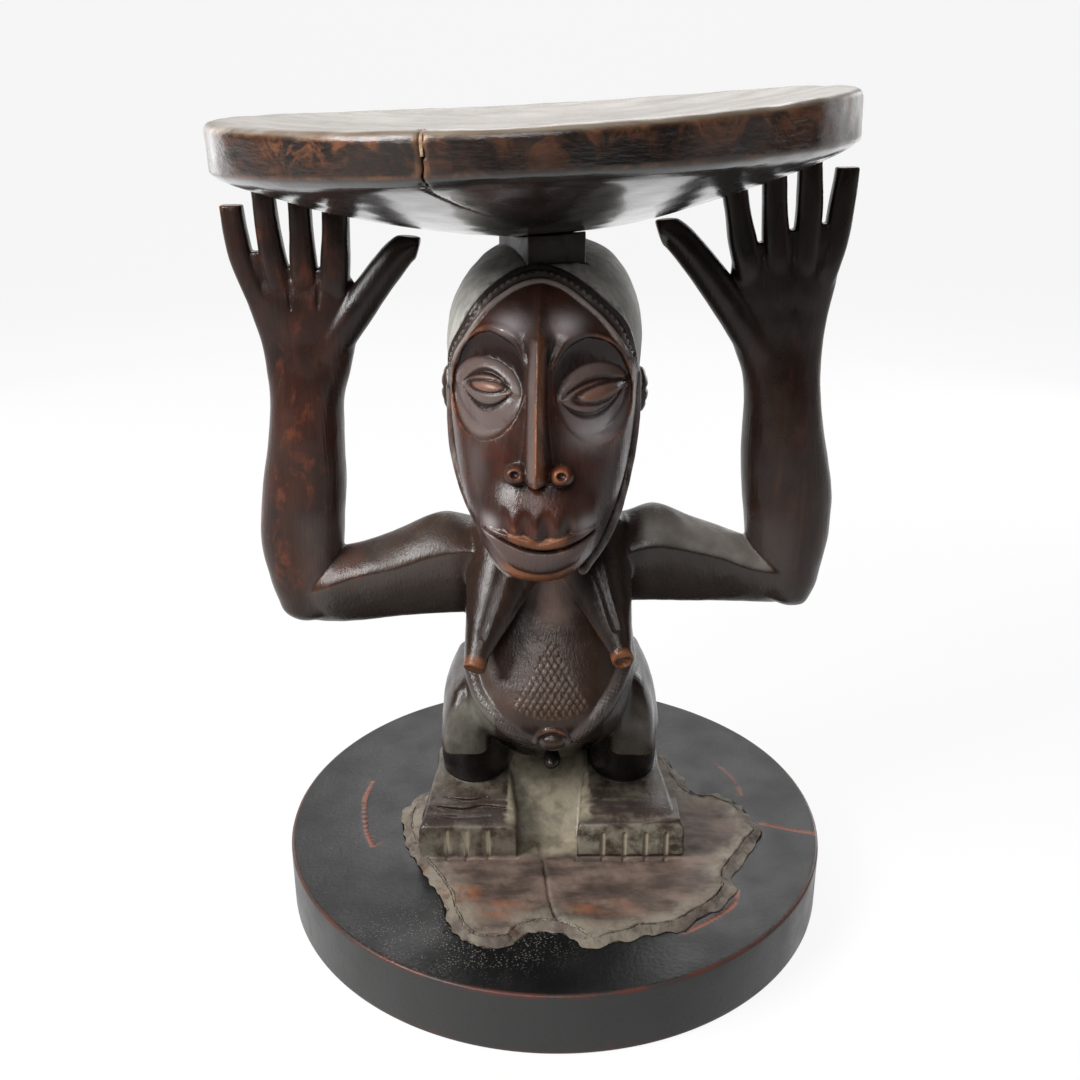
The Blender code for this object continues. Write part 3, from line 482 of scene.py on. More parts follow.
black.shader.inputs["Specular IOR Level"].default_value = 0.28
black.bump(black.math("ADD", black.noise(420, detail=6), fleck), 0.00018)
dress(base_disc, black, "base_disc")

# Base screws
# Four plain steel wood screws, driven up from under the disc into the old plinth.
# Their slotted heads are sunk below the underside, dull and a little rusty.
steel = Finish("dull_screw_steel")
rust = steel.span(steel.noise(700, detail=6), 0.5, 0.72)
steel.set(
    base_color=steel.blend(rust, (0.36, 0.35, 0.33), (0.17, 0.075, 0.035)),
    roughness=steel.span(steel.noise(900, (1, 0.1, 1)), 0.2, 0.8, 0.32, 0.6),
    metallic=steel.math("SUBTRACT", 1.0, rust),
)
steel.bump(steel.noise(1500), 0.00008)
for number in range(1, 5):
    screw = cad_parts[f"base_screw_{number}"]
    screw.data.materials.clear()
    screw.data.materials.append(steel.material)

# Putty bed
# Grey-green filler pressed by hand round the broken plinth, in the disc's recess.
# It dried matt and uneven, smeared a little over the black top.
bed_low = disc_top - RECESS_DEPTH
plate_top = disc_top + 3.3
PUTTY_STEP, PUTTY_FACES = 0.55, 60000
plate_gap = outline_gap(plate_on_disc)


def smeared(x, y):
    """How far the filler reaches past the plinth's edge, in and out like a finger's smear."""
    wave = 1.5 * np.sin(0.21 * x + 0.09 * y) * np.sin(0.16 * y - 0.05 * x)
    return PUTTY_WIDTH + 1.4 + (wave + 0.8 * np.sin(0.57 * x - 0.41 * y))


def filler_top(x, y, z):
    """Distance above the filler, which slopes from the plinth's top down to the disc."""
    out = plate_gap(x, y)
    reach = smeared(x, y)
    share = np.clip(out / reach, 0, 1)
    top = disc_top + 0.45 + (plate_top - disc_top - 0.5) * (1 - share) ** 1.3
    inner = 2.8 + 2.2 * np.sin(0.33 * x + 0.2 * y) * np.sin(0.27 * y - 0.1 * x)
    top = np.where(out < 0, plate_top + 0.5 + 0.5 * out / inner, top)
    return np.maximum((z - top) * 0.8, np.maximum(out - reach, -inner - out))


smear_low, smear_high = putty_on_disc.min(axis=0) - 4, putty_on_disc.max(axis=0) + 4
bed = Block((*(smear_low - 1), bed_low - 1), (*(smear_high + 1), plate_top + 3), PUTTY_STEP)
bed.add(prism(putty_on_disc, bed_low + GAP, disc_top + 0.2, 0.3), 0)
smear = Shape(
    (*smear_low, disc_top + 0.05), (*smear_high, plate_top + 1),
    lambda x, y, z: np.maximum(filler_top(x, y, z), disc_top + 0.05 - z),
)
bed.add(smear, 0)
bed.cut(prism(grown(plate_on_disc, 0.12), bed_low - 9, plate_top - 0.1, 0.3), 0)


def pressed(points):
    """The lumps that fingers left in the filler, on what stands above the disc."""
    lumps = 0.28 * ripple(points, 14, 5) + 0.22 * ripple(points, 5, 6)
    return ease(points[:, 2], disc_top + 0.2, disc_top + 1) * lumps


putty_bed = bed.piece("pressed_putty_bed", (0, 0, 0), PUTTY_FACES, pressed)
putty = Finish("grey_green_putty")
patches = putty.span(putty.noise(60, detail=7), 0.35, 0.68)
putty.ground(patches, (0.080, 0.060, 0.048), (0.185, 0.158, 0.120))
putty.wash(putty.span(putty.noise(150, detail=6), 0.55, 0.70), (0.045, 0.033, 0.025))
putty.wash(putty.span(putty.noise(38, detail=5), 0.58, 0.70, 0, 0.7), (0.16, 0.065, 0.035))
putty.set(base_color=putty.colour, roughness=putty.span(putty.noise(180), 0.3, 0.7, 0.6, 0.85))
putty.bump(putty.noise(330, detail=8), 0.0008)
dress(putty_bed, putty, "putty_bed")

# Carved figure
# One block of dark hardwood: feet on a broken plinth, legs, torso, raised arms, head and crown post.
# It was cut with adze and knife, oiled and handled, so ridges are polished to orange and hollows stay dark.
figure_low, figure_high = (np.array(corner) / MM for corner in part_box("caryatid_figure"))
PLATE_THICKNESS = 11.0
FIGURE_STEP, FIGURE_FACES = 0.65, 190000
stand = np.array((FIGURE_X, 0, figure_low[2] + PLATE_THICKNESS))
figure = Block((-173, -127, -12), (161, 95, figure_high[2] - stand[2] + 1), FIGURE_STEP)


def ball(middle, radii):
    """An ellipsoid."""
    mx, my, mz = middle
    rx, ry, rz = radii

    def distance(x, y, z):
        u, v, w = (x - mx) / rx, (y - my) / ry, (z - mz) / rz
        size = np.maximum(np.sqrt(u * u + v * v + w * w), 1e-3)
        slope = np.sqrt((u / rx) ** 2 + (v / ry) ** 2 + (w / rz) ** 2) + 1e-9
        return np.maximum(size * (size - 1) / slope, -30)

    return Shape(np.array(middle) - radii, np.array(middle) + radii, distance)


def box(middle, half, edge):
    """A square block with eased edges."""
    def distance(x, y, z):
        q = [np.abs(p - m) - h + edge for p, m, h in zip((x, y, z), middle, half)]
        outside = np.sqrt(sum(np.maximum(p, 0) ** 2 for p in q))
        return outside + np.minimum(np.maximum(np.maximum(q[0], q[1]), q[2]), 0) - edge

    return Shape(np.array(middle) - half, np.array(middle) + half, distance)


def turned(shape, pivot, axis, degrees):
    """The shape turned about an axis through a pivot."""
    turn = np.array(Matrix.Rotation(math.radians(degrees), 3, axis))
    pivot = np.array(pivot, float)
    low, high = np.array(shape.low), np.array(shape.high)
    corners = np.array([np.where(pick, high, low) for pick in np.ndindex(2, 2, 2)])
    corners = (corners - pivot) @ turn.T + pivot

    def distance(x, y, z):
        x, y, z = x - pivot[0], y - pivot[1], z - pivot[2]
        moved = [turn[0, i] * x + turn[1, i] * y + turn[2, i] * z + pivot[i] for i in range(3)]
        return shape.distance(*moved)

    return Shape(corners.min(axis=0), corners.max(axis=0), distance)


def loft(axes, sections, power, edge=2.0):
    """A form through sections: place on one axis, low, middle and high on the next, then near and far."""
    rows = np.array(sections, float)
    places = rows[:, 0]
    fine = np.linspace(places[0], places[-1], 240)
    slopes = np.gradient(rows, places, axis=0)
    index = np.clip(np.searchsorted(places, fine) - 1, 0, len(places) - 2)
    width = places[index + 1] - places[index]
    t = ((fine - places[index]) / width)[:, None]
    width = width[:, None]
    a, b, da, db = rows[index], rows[index + 1], slopes[index] * width, slopes[index + 1] * width
    table = a + da * t + (3 * (b - a) - 2 * da - db) * t**2 + (2 * (a - b) + da + db) * t**3
    order = ["xyz".index(axis) for axis in axes]

    def distance(x, y, z):
        along, across, deep = ((x, y, z)[i] for i in order)
        sizes = [np.interp(along, fine, table[:, i]).astype("f4") for i in range(1, 6)]
        low, middle, high, near, far = sizes
        aside = across - middle
        u = np.abs(aside) / np.where(aside > 0, high - middle, middle - low)
        ahead = deep - (near + far) / 2
        v = np.abs(ahead) / ((far - near) / 2)
        size = np.maximum((u**power + v**power) ** (1 / power), 0.02)
        radius = np.hypot(aside, ahead)
        side = radius - radius / size
        side = np.where(size <= 0.03, -np.minimum(high - low, far - near) / 2, side)
        return soft_max(side, np.maximum(fine[0] - along, along - fine[-1]), edge)

    low, high = np.zeros(3), np.zeros(3)
    low[order] = (places[0], table[:, 1].min(), table[:, 4].min())
    high[order] = (places[-1], table[:, 3].max(), table[:, 5].max())
    return Shape(low, high, distance)


def upright(sections, power=2.3, edge=2.0):
    """A form through level sections: (height, middle, half width, front, back)."""
    rows = [(z, x - half, x, x + half, front, back) for z, x, half, front, back in sections]
    return loft("zxy", rows, power, edge)


def bend_of(piece, rounds):
    """How far the surface bends at each point, in 1/mm: above zero on ridges, below in hollows."""
    points, normals = points_of(piece)
    mesh = piece.data
    ends = np.empty(len(mesh.edges) * 2, "i4")
    mesh.edges.foreach_get("vertices", ends)
    a, b = ends.reshape(-1, 2).T
    count = np.bincount(ends, minlength=len(points))
    step = (points[b] - points[a]) / MM
    turn = ((normals[b] - normals[a]) * step).sum(axis=1) / np.maximum((step**2).sum(axis=1), 1e-6)
    bend = (np.bincount(a, turn, len(points)) + np.bincount(b, turn, len(points))) / count
    for _ in range(rounds):
        near = np.bincount(a, bend[b], len(points)) + np.bincount(b, bend[a], len(points))
        bend = (bend + near / count) / 2
    return bend


SIDES = (-1, 1)

# Plinth remnant
# A ragged sheet of the first plinth, broken off all round, in one piece with the feet.
# Weather and glue left it rough and brown, with a crack that runs forward from between the feet.
figure.add(prism(PLATE_OUTLINE, -PLATE_THICKNESS, 0, 0.3), 0)
PLINTH_CRACK = curve(
    [(-6, -36, 1.2), (-4.5, -42, 0.7), (-2, -63, 0.3), (0, -85, 0.1), (2.5, -100, -0.2), (6, -108, -0.8)]
)
figure.cut(bar(PLINTH_CRACK, np.interp(range(len(PLINTH_CRACK)), (0, 6, 25), (2.6, 1.5, 1.1))), 0.4)

# Feet and legs
# Wedge feet with toe cuts, thick legs cut flat in front and undercut above the ankles.
# Dust and putty lie on the feet and on the slope between them, and a pale sheen is painted on the fronts of
# the feet.
LEFT_FOOT = ((-51, -75, -46, -18, -4, 20.5), (-48, -74, -46, -18, -4, 22.5), (-25, -71, -45, -20, -4, 29),
             (0, -68, -45, -22, -4, 31), (30, -66, -45, -24, -4, 27), (37, -62, -45, -28, -4, 22))
RIGHT_FOOT = ((-52, 16, 47, 78.5, -4, 23), (-48, 17, 46, 76, -4, 25.5), (-25, 19, 45, 72, -4, 29.5),
              (0, 22, 45, 69, -4, 31), (30, 24, 45, 66, -4, 27), (37, 28, 45, 62, -4, 22))
TOE_CUTS = (-58.4, -47.2, -34.7, 31.2, 43.6, 55.9, 67.6)
for foot in (LEFT_FOOT, RIGHT_FOOT):
    figure.add(loft("yxz", foot, 9, 1.4), 1.0)
figure.add(bar([(-65, -44, 3), (-68, -20, 5), (-64, 20, 4)], (6, 8, 7), (1, 1, 0.75)), 3)
figure.add(bar([(72, -40, 1), (70, -10, 4), (66, 25, 3)], (7, 8, 7), (1, 1, 0.8)), 3)
figure.add(turned(box((49, -40, 19), (27, 11.5, 5), 1.2), (49, -40, 19), "Y", -5), 0.8)
for x in TOE_CUTS:
    top = 16.5 if x < 0 else 15.5
    notch = [(x, -52.5, 0), (x, -52.5, top), (x, -50.5, top + 2)]
    figure.cut(bar(notch, (1.7, 1.6, 0.4), (1.25, 1, 1)), 0.4)
figure.cut(bar(curve([(16, -53, 0.9), (48, -53.5, 0.5), (79, -53, 1.4)]), 1.5), 0.3)
figure.cut(bar(curve([(-72, -52, 0.4), (-45, -52.5, 0.2), (-18, -52, -0.4)]), 1.0), 0.3)
FOOT_CRACKS = (
    ((-66, -38), (-50, -41), (-38, -38), (-22, -40)),
    ((-60, -31), (-47, -34), (-36, -31)),
    ((-68, -44), (-52, -46), (-34, -45)),
    ((20, -44), (38, -41), (54, -43), (72, -45)),
    ((20, -36), (34, -38), (52, -35), (66, -37)),
    ((26, -31), (42, -33), (60, -30)),
)
for line in FOOT_CRACKS:
    spots = curve(line, 4)
    top = np.interp(spots[:, 1], (-52, -48, -25), (22, 23.4, 29))
    width = np.interp(range(len(spots)), (0, 3, len(spots) - 1), (0.5, 1.5, 0.6))
    figure.cut(bar(np.column_stack([spots, top]), width), 0.3)
TOE_SEAMS = (((18, -52, 0.8), (77, -52, 0.8), 1.2), ((-72, -52, 0.8), (-20, -52, 0.8), 0.8))
for start, end, wide in TOE_SEAMS:
    figure.cut(bar([start, end], wide), 0.3)
figure.add(upright(((18, 0, 26, 4, 30), (40, 0, 27, 2, 32), (58, 0, 30, -6, 34)), 3.0, 2), 3)
figure.add(turned(box((0, -2, 10), (23, 33, 15), 4), (0, -2, 10), "X", 42), 2.5)
figure.cut(ball((-3, -47, 6), (11, 9, 7)), 3)
LEG_FORMS = (
    ((26, -44, 19, -17, 27), (34, -43.5, 20.3, -21, 28), (50, -43, 21, -23.5, 30),
     (84, -42, 18, -22, 33)),
    ((26, 45.5, 18.5, -17, 27), (34, 45.2, 19.6, -21, 28), (50, 45, 20, -23.5, 30),
     (84, 43, 18, -22, 33)),
)
THIGH_FORMS = (
    ((63.5, -47.5, 14.6, -43, 37), (74, -47.2, 14.2, -44.5, 38), (86, -46, 13.5, -44, 37),
     (95, -44.5, 12, -40, 33), (102, -43, 9.5, -34, 26), (106, -42, 5, -27, 10)),
    ((63.0, 48, 14.4, -43, 37), (74, 47.6, 14.2, -44.5, 38), (88, 46.3, 13.5, -44, 37),
     (98, 44.5, 12, -40, 33), (106, 43, 9.5, -34, 26), (110, 42, 5, -27, 10)),
)
for ankle, thigh in zip(LEG_FORMS, THIGH_FORMS):
    figure.add(upright(ankle, 2.0, 1.0), 1.5)
    figure.add(upright(thigh, 4.4, 0.8), 0.8)
HAUNCHES = (
    ((63.5, -51.5, 11.7, -26, 36), (74, -51, 11, -26, 37), (86, -49, 11, -25, 35),
     (93, -47.5, 10, -24, 32), (100, -45.5, 8.5, -20, 26), (105, -44, 6, -14, 18)),
    ((63, 54, 12, -26, 36), (74, 53, 11.5, -26, 37), (86, 51, 11, -25, 35), (97, 48, 10, -24, 32),
     (105, 45, 8, -20, 26), (110, 43.5, 5.5, -14, 18)),
)
for haunch in HAUNCHES:
    figure.add(upright(haunch, 2.4, 2), 3)

# Torso
# A narrow trunk that swells to a pointed belly, cone breasts with sharp inner ridges, and a cut lattice.
# A textured band follows the belly's lower edge down to the navel.
TRUNK = (
    (50, 0, 27, -24, 33), (62, 0, 37, -32, 38), (70, 0.5, 43, -43, 40), (78, 0.5, 46.5, -53.5, 41),
    (88, 0.7, 48.5, -61.5, 41), (98, 1, 49.5, -63, 40), (110, 1, 49.5, -58, 39),
    (122, 0.5, 48.5, -50, 36), (136, 0, 47, -41.5, 33), (150, 0, 46.3, -35, 31),
    (165, -0.3, 46.5, -31.5, 30), (180, -0.8, 46, -27.5, 29), (190, -1, 41, -24, 27),
    (199, -1.5, 31, -19, 23),
)
NECK = (
    (178, -1.5, 33, -26, 26), (196, -2, 27, -27, 25), (225, -2.5, 25, -32, 23), (252, -2.5, 26, -34, 22),
)
figure.add(upright(TRUNK, 2.45), 3)
for side in SIDES:
    figure.add(ball((side * 21, 25, 64), (23, 21, 27)), 6)
figure.add(upright(NECK, 2.2), 9)


def front(spots, field=figure.field):
    """Points on the front of the figure as carved so far, at (aside, up) spots."""
    spots = np.array(spots, float)
    ahead = np.arange(-126, 40, 0.2)[None]
    inside = field(spots[:, :1], ahead, spots[:, 1:]) < 0
    return np.stack([spots[:, 0], ahead[0, inside.argmax(axis=1)], spots[:, 1]], axis=1)


def past(place, out):
    """Distance past a flat cut at a place, square to a direction."""
    return lambda x, y, z: (x - place[0]) * out[0] + (y - place[1]) * out[1] + (z - place[2]) * out[2]


def kept(shape, cut):
    """What is left of a shape on the near side of a flat cut."""
    def distance(x, y, z):
        return soft_max(shape.distance(x, y, z), cut(x, y, z), 0.8)

    return Shape(shape.low, shape.high, distance)


def unit(direction):
    """A direction one long."""
    return direction / np.linalg.norm(direction)


BAND = (
    ((-42.5, 115), (-40, 109), (-37.0, 103), (-29, 95.5), (-18, 87.5), (-7, 81.5)),
    ((41.8, 118), (36.6, 109.5), (27, 98), (15.5, 86.5), (10.5, 82)),
)
for line in BAND:
    figure.add(bar(front(curve(line, 4)) + (0, 2.4, 0), 5.2), 1.0)
navel = front([(1.8, 84)])[0]
figure.add(ball(navel + (0, 1.5, -1.5), (8.2, 7, 6.2)), 2)
NAVEL_ARCH = ((-7.2, 82.5), (-5.5, 87.5), (-2, 90.6), (1.8, 91.6), (5.6, 90.6), (9, 87.3), (10.6, 82.2))
figure.add(bar(front(curve(NAVEL_ARCH, 3)) + (0, -0.5, 0), 1.7), 0.7)
figure.add(ball((1.8, -36, 57), (4.8, 9, 5)), 1.5)
NIPPLES = ((-40, -61.5, 128.5), (39.2, -61.5, 132.6))
for side, nipple in zip(SIDES, NIPPLES):
    nipple = np.array(nipple)
    root = np.array((side * 20, -9, 177 + side * 1.5))
    out = unit(nipple - root)
    cone = bar([root, nipple - out * 5], (27, 6.5))
    below = np.array((-side * 0.62, 0.0, -0.78))
    below = unit(below - (below @ out) * out)
    edge_top, edge_tip = root + below * 13, nipple - out * 5 + below * 3.6
    inner = np.cross(edge_tip - edge_top, np.cross(out, below))
    inner = unit(inner) * np.sign(inner @ below)
    figure.add(kept(cone, past(edge_top, inner)), 1.0)
    ahead = np.array((0, -0.905, 0.424))
    ahead = unit(ahead - (ahead @ out) * out)
    flute = [
        root + (nipple - root) * share + ahead * (wide + over - 1.5) + (side * 1.5, 0, 0)
        for share, wide, over in ((0.12, 25, 13), (0.5, 17, 9), (0.80, 10.2, 6))
    ]
    figure.cut(bar(flute, (13, 9, 6)), 0.5)
    tip = out if side < 0 else np.array((0.22, -0.93, -0.29))
    stub = bar([nipple - out * 6, nipple + tip * 4], 6.0)
    figure.add(kept(stub, past(nipple + tip, tip)), 0.5)
    if side > 0:
        figure.cut(ball(nipple + tip * 1.2, (4.2, 3.2, 3.4)), 0.4)
LATTICE_APEX, LATTICE_FOOT, LATTICE_HALF = 136.5, 97.0, 21.0
CELL_WIDE, CELL_TALL = 3.9, 5.6


def lattice_field(x, z):
    """1 inside the leaf-shaped field of diamonds, 0 outside."""
    half = np.minimum((LATTICE_APEX - z) * 0.66, LATTICE_HALF)
    return np.clip(half - np.abs(x - 0.5), 0, 1) * np.clip(z - LATTICE_FOOT - 0.012 * (x - 1) ** 2, 0, 1)


def lattice(x, y, z):
    """Small raised diamonds with cuts between."""
    a = np.abs(np.cos(math.pi * (x / CELL_WIDE + z / CELL_TALL)))
    b = np.abs(np.cos(math.pi * (x / CELL_WIDE - z / CELL_TALL)))
    return lattice_field(x, z) * (1.1 * np.minimum(np.minimum(a, b), 0.6) - 0.40) * (y < -30)


figure.lift((-22, -72, LATTICE_FOOT), (23, -30, LATTICE_APEX), lattice)
BAND_REACH = ((-42.5, -10), (12, 42))


def band_texture(line):
    """Small bumps along a band."""
    spots = np.array(sorted(line)).T

    def height(x, y, z):
        bumps = 0.5 * np.cos(x * 2.3 + z) * np.cos(z * 2.3 - x)
        return bumps * np.clip(1.2 - np.abs(z - np.interp(x, *spots)) / 5, 0, 1) * (y < -38)

    return height


for line, (start, end) in zip(BAND, BAND_REACH):
    figure.lift((start, -72, 84), (end, -38, 118), band_texture(line))

# Arms and hands
# Upper arms go out sideways with a sharp ridge in front, forearms straight up, palms to the front.
# The three middle fingers carry the seat; the little finger and the thumb stand clear of it.
UPPER_ARMS = (
    ((-146, 130, 146, 166, -12, 12), (-129, 127.6, 154.5, 172, -20, 18),
     (-103, 129, 164.5, 177.5, -22, 19), (-84, 131.5, 169, 185, -23, 20), (-57, 133, 178, 195, -24, 22),
     (-42, 133.5, 180, 191, -25, 24), (-20, 136, 178, 190, -24, 24)),
    ((20, 140, 178, 193, -24, 24), (42, 140.7, 179, 194.5, -25, 24), (57, 141, 182, 200, -24, 22),
     (79.5, 141, 178.7, 192.5, -23, 20), (94.5, 140.8, 174.5, 187, -22, 19),
     (110, 140.4, 168.5, 181, -21, 19), (130, 140, 163.5, 178, -18, 16), (143, 141, 160, 174, -11, 11)),
)
FOREARMS = (
    ((130.0, -138, 7, -7, 7), (134, -137.5, 13, -12, 12), (144, -138.0, 17, -16, 16),
     (160, -138.5, 20.5, -19, 19), (177, -138.6, 22.9, -20, 20), (194, -137.4, 23.2, -20, 20),
     (211, -135.4, 22.8, -20, 20), (227, -133.6, 21.4, -19, 19), (243, -132, 20.2, -18, 18),
     (259, -130.6, 19.7, -16, 16), (274, -128.7, 22, -13.5, 13), (289, -127.5, 24.6, -11, 10),
     (304, -128.0, 28.0, -10, 8.5), (316, -129.5, 29.5, -9.0, 7.5), (325, -131.5, 28.5, -6.5, 6.0)),
    ((139.6, 140, 7, -7, 7), (144, 137, 12, -12, 12), (152, 133.5, 18.5, -16, 16),
     (166, 133.2, 21.2, -19, 19), (180, 133.6, 22.8, -20, 20), (194, 133.2, 23.9, -20, 20),
     (205, 132.4, 24.6, -20, 20), (227, 129.4, 23.6, -19, 19), (243, 127.6, 21.9, -18, 18),
     (259, 126, 20.6, -16, 16), (274, 124.3, 20.9, -13.5, 13), (289, 121.5, 23.5, -11, 10),
     (304, 120.5, 25.8, -10, 8.5), (322, 121.5, 27.5, -9.0, 7.5), (337, 123, 27.5, -6.5, 6.0)),
)
FINGERS = (
    ((300, -147, 6.5), (320, -154, 6.5), (333, -158.6, 6.3), (347, -161, 6.1), (361, -162.4, 5.9)),
    ((300, -138, 6.5), (320, -139.8, 6.8), (333, -142.4, 6.6), (347, -144.1, 6.2), (372, -145.5, 5.9)),
    ((300, -126, 6.5), (320, -127, 7), (333, -127.4, 6.8), (347, -127.4, 6.1), (372, -127.2, 5.9)),
    ((300, -114, 7), (320, -112, 7.6), (333, -110.6, 7.6), (347, -109.6, 7.0), (368, -108.8, 7.3)),
    ((312, 138, 6.5), (330, 143.5, 6.4), (343, 146.8, 6.3), (357, 148.4, 6.5), (379.5, 150.1, 6.0)),
    ((312, 130.5, 6.5), (330, 131.2, 7), (343, 131.8, 7), (357, 132.2, 6.7), (390, 130.7, 6.0)),
    ((312, 119, 6.5), (330, 118, 7.2), (343, 116.6, 7.2), (357, 115, 6.5), (386, 112.8, 6.0)),
    ((312, 107, 7), (330, 103, 7.6), (343, 99.4, 7.6), (357, 96.2, 6.6), (378, 92.0, 7.0)),
)
FINGER_FRONTS = (-5.0, -8.2, -7.8, -7.0, -5.8)
THUMBS = (
    ((-118, -3, 286), (-103, -3, 305), (-89, -2, 323.5), (-78, -1, 336.5), (-72.5, 0, 340.5)),
    ((112, -3, 286), (97, -3, 307), (80, -2, 329), (68, -1, 343), (60.5, 0, 349)),
)
GROOVES = (
    ((-151.5, 341), (-147, 314)), ((-135.2, 333), (-134, 309)),
    ((-118.6, 332), (-120, 309)), ((-102.5, 324), (-107, 310)),
    ((140.0, 355), (136, 333)), ((124.6, 352), (124, 330)),
    ((107.5, 345), (112, 325)), ((89.5, 338), (97, 322)),
)
for upper, fore in zip(UPPER_ARMS, FOREARMS):
    figure.add(loft("xzy", upper, 1.45, 2), 2.5)
    figure.add(upright(fore, 2.25, 3), 1.5)
for finger in FINGERS:
    rows = [(z, x, half, ahead, 1.2 - ahead * 0.6) for (z, x, half), ahead in zip(finger, FINGER_FRONTS)]
    figure.add(upright(rows, 3.0, 0.8), 1.0)
THUMB_CUTS = (
    (((-72.5, 0, 345.6), (0.10, 0, 0.995)), ((-67.2, 0, 340), (0.96, 0, -0.28))),
    (((60.5, 0, 354.0), (-0.10, 0, 0.995)), ((55.4, 0, 349), (-0.94, 0, -0.34))),
)
for thumb, cuts in zip(THUMBS, THUMB_CUTS):
    rod = bar(curve(thumb, 4), np.interp(range(17), (0, 6, 13, 16), (10, 9.0, 7.8, 7.4)), (1, 1.2, 1))
    for place, out in cuts:
        rod = kept(rod, past(place, out))
    figure.add(rod, 1.5)
FINGER_WEBS = (
    (-151, 338.0, 6), (-135, 330.5, 4), (-118.5, 329.5, 4), (139.5, 352.0, 6), (124.5, 349.0, 5),
    (107.5, 342.5, 4),
)
for x, top, half in FINGER_WEBS:
    rows = ((308, x, half, -6.5, 5), (top - 6, x, half, -6, 4.6), (top, x, half * 0.7, -5.4, 4.2))
    figure.add(upright(rows, 2.4, 1.5), 0.6)
for (x, z), (end_x, end_z) in GROOVES:
    for y in (-9.4, 8.0):
        groove = [(x, y, z), ((x + end_x) / 2, y, (z + end_z) / 2), (end_x, y, end_z)]
        figure.cut(bar(groove, (3.4, 2.3, 0.4)), 0.8)

# Head
# A long oval face with hollow eye sockets, coffee-bean eyes and a ridge nose, framed by a braided diadem.
# Behind the diadem the hair is one smooth cap, worn grey; the face is polished red-brown, with pale
# highlights and near-black shade painted round the eyes, brows, nose and mouth.
HEAD_PLACE = np.array((-1.7, 0.0, 190.5))
HEAD_TURN = -2.4


def spun(a, b, degrees):
    """Two measures as a frame turned by some degrees has them."""
    turn = math.radians(degrees)
    return a * math.cos(turn) + b * math.sin(turn), b * math.cos(turn) - a * math.sin(turn)


def head_frame(x, y, z):
    """Places in the head's own frame, measured from under the chin."""
    return *spun(x - HEAD_PLACE[0], y - HEAD_PLACE[1], HEAD_TURN), z - HEAD_PLACE[2]


def on_head(shape):
    """A shape drawn in the head's own frame, set on the neck."""
    low, high = np.array(shape.low) + HEAD_PLACE - 5, np.array(shape.high) + HEAD_PLACE + 5
    return Shape(low, high, lambda x, y, z: shape.distance(*head_frame(x, y, z)))


def head_field(aside, ahead, up):
    """Distances at places given in the head's own frame."""
    x, y = spun(aside, ahead, -HEAD_TURN)
    return figure.field(x + HEAD_PLACE[0], y + HEAD_PLACE[1], up + HEAD_PLACE[2])


def face_lift(low, high, height):
    """Raises the front of the face by height(aside, up) in the head's frame, between two corners."""
    def raised(x, y, z):
        aside, ahead, up = head_frame(x, y, z)
        return height(aside, up) * (ahead < -25)

    low, high = np.array((low[0], -120, low[1])), np.array((high[0], -20, high[1]))
    figure.lift(low + HEAD_PLACE - (3, 3, 0), high + HEAD_PLACE + (3, 3, 0), raised)


SKULL = (
    (2.5, 0, 16, -96, -60), (5, 0, 20, -98, -50), (12, 0, 27.5, -100, -32), (25, 0, 35, -100, -10),
    (45, 0, 42.2, -96, 14), (68, 0, 46.4, -90, 32), (92, 0, 48.8, -84, 44), (112, 0, 49.6, -78, 51),
    (128, 0.3, 46, -69, 53), (140, 0.8, 38.5, -55, 50), (148, 1.2, 29, -38, 43), (153, 1.5, 16, -20, 31),
)
figure.add(on_head(upright(SKULL, 2.35, 1.5)), 2.0)
figure.add(on_head(ball((0, -85, 33), (27, 18.5, 19))), 8)
EYE_OUT, DISH_SLANT, DISH_HALF, DISH_UP, DISH_DOWN, DISH_DEPTH = 25.4, 0.18, 18.6, 26.0, 25.0, 7.0
Eye = namedtuple("Eye", "side up lids lens tilt")
EYES = (
    Eye(-1, 94.5, (-25.8, 92.9, 13.2, 7.5, 7.7), (-25.0, 94.6, 7.4, 2.3), 0.03),
    Eye(1, 93.0, (25.6, 91.0, 16.2, 6.4, 8.6), (28.8, 91.4, 9.4, 3.4), 0.10),
)


def eye_height(aside, up, side, middle, eye, lens, tilt):
    """The hollow socket with a lidded eye on a low mound in it."""
    out = side * (EYE_OUT - DISH_SLANT * (up - middle))
    u = np.abs(aside - out) / DISH_HALF
    v = (up - middle) / np.where(up > middle, DISH_UP, DISH_DOWN)
    inside = np.clip(1 - (u**2.2 + np.abs(v) ** 2.2), 0, 1)
    height = -DISH_DEPTH * inside**0.62
    u = (aside - eye[0]) / 17.2
    v = (up - eye[1] + 1.5) / np.where(up > eye[1] - 1.5, 15.0, 17.0)
    mound = np.clip(1 - u * u - v * v, 0, 1)
    height = height + 5.2 * np.where(up > eye[1] - 1.5, mound**0.5, mound**0.8)
    u = (aside - eye[0]) / eye[2]
    level = eye[1] + tilt * (aside - eye[0])
    arch = np.clip(1 - u * u, 1e-3, 1)
    v = (up - level) / np.where(up > level, eye[3], eye[4]) / arch
    height = height + 1.9 * np.clip(1 - v * v, 0, 1) ** 0.7 * arch**0.5 * (np.abs(u) < 1)
    height = height - 0.9 * np.exp(-(((np.abs(v) - 1.05) / 0.16) ** 2)) * (np.abs(u) < 1)
    u = (aside - lens[0]) / lens[2]
    v = (up - lens[1] - tilt * (aside - lens[0])) / lens[3]
    rim = np.sqrt(u * u + v * v)
    height = height + 0.9 * np.clip(1 - rim * rim, 0, 1) ** 0.5
    return height - 1.1 * np.exp(-(((rim - 1.22) / 0.22) ** 2)) * (np.abs(u) < 1.6)


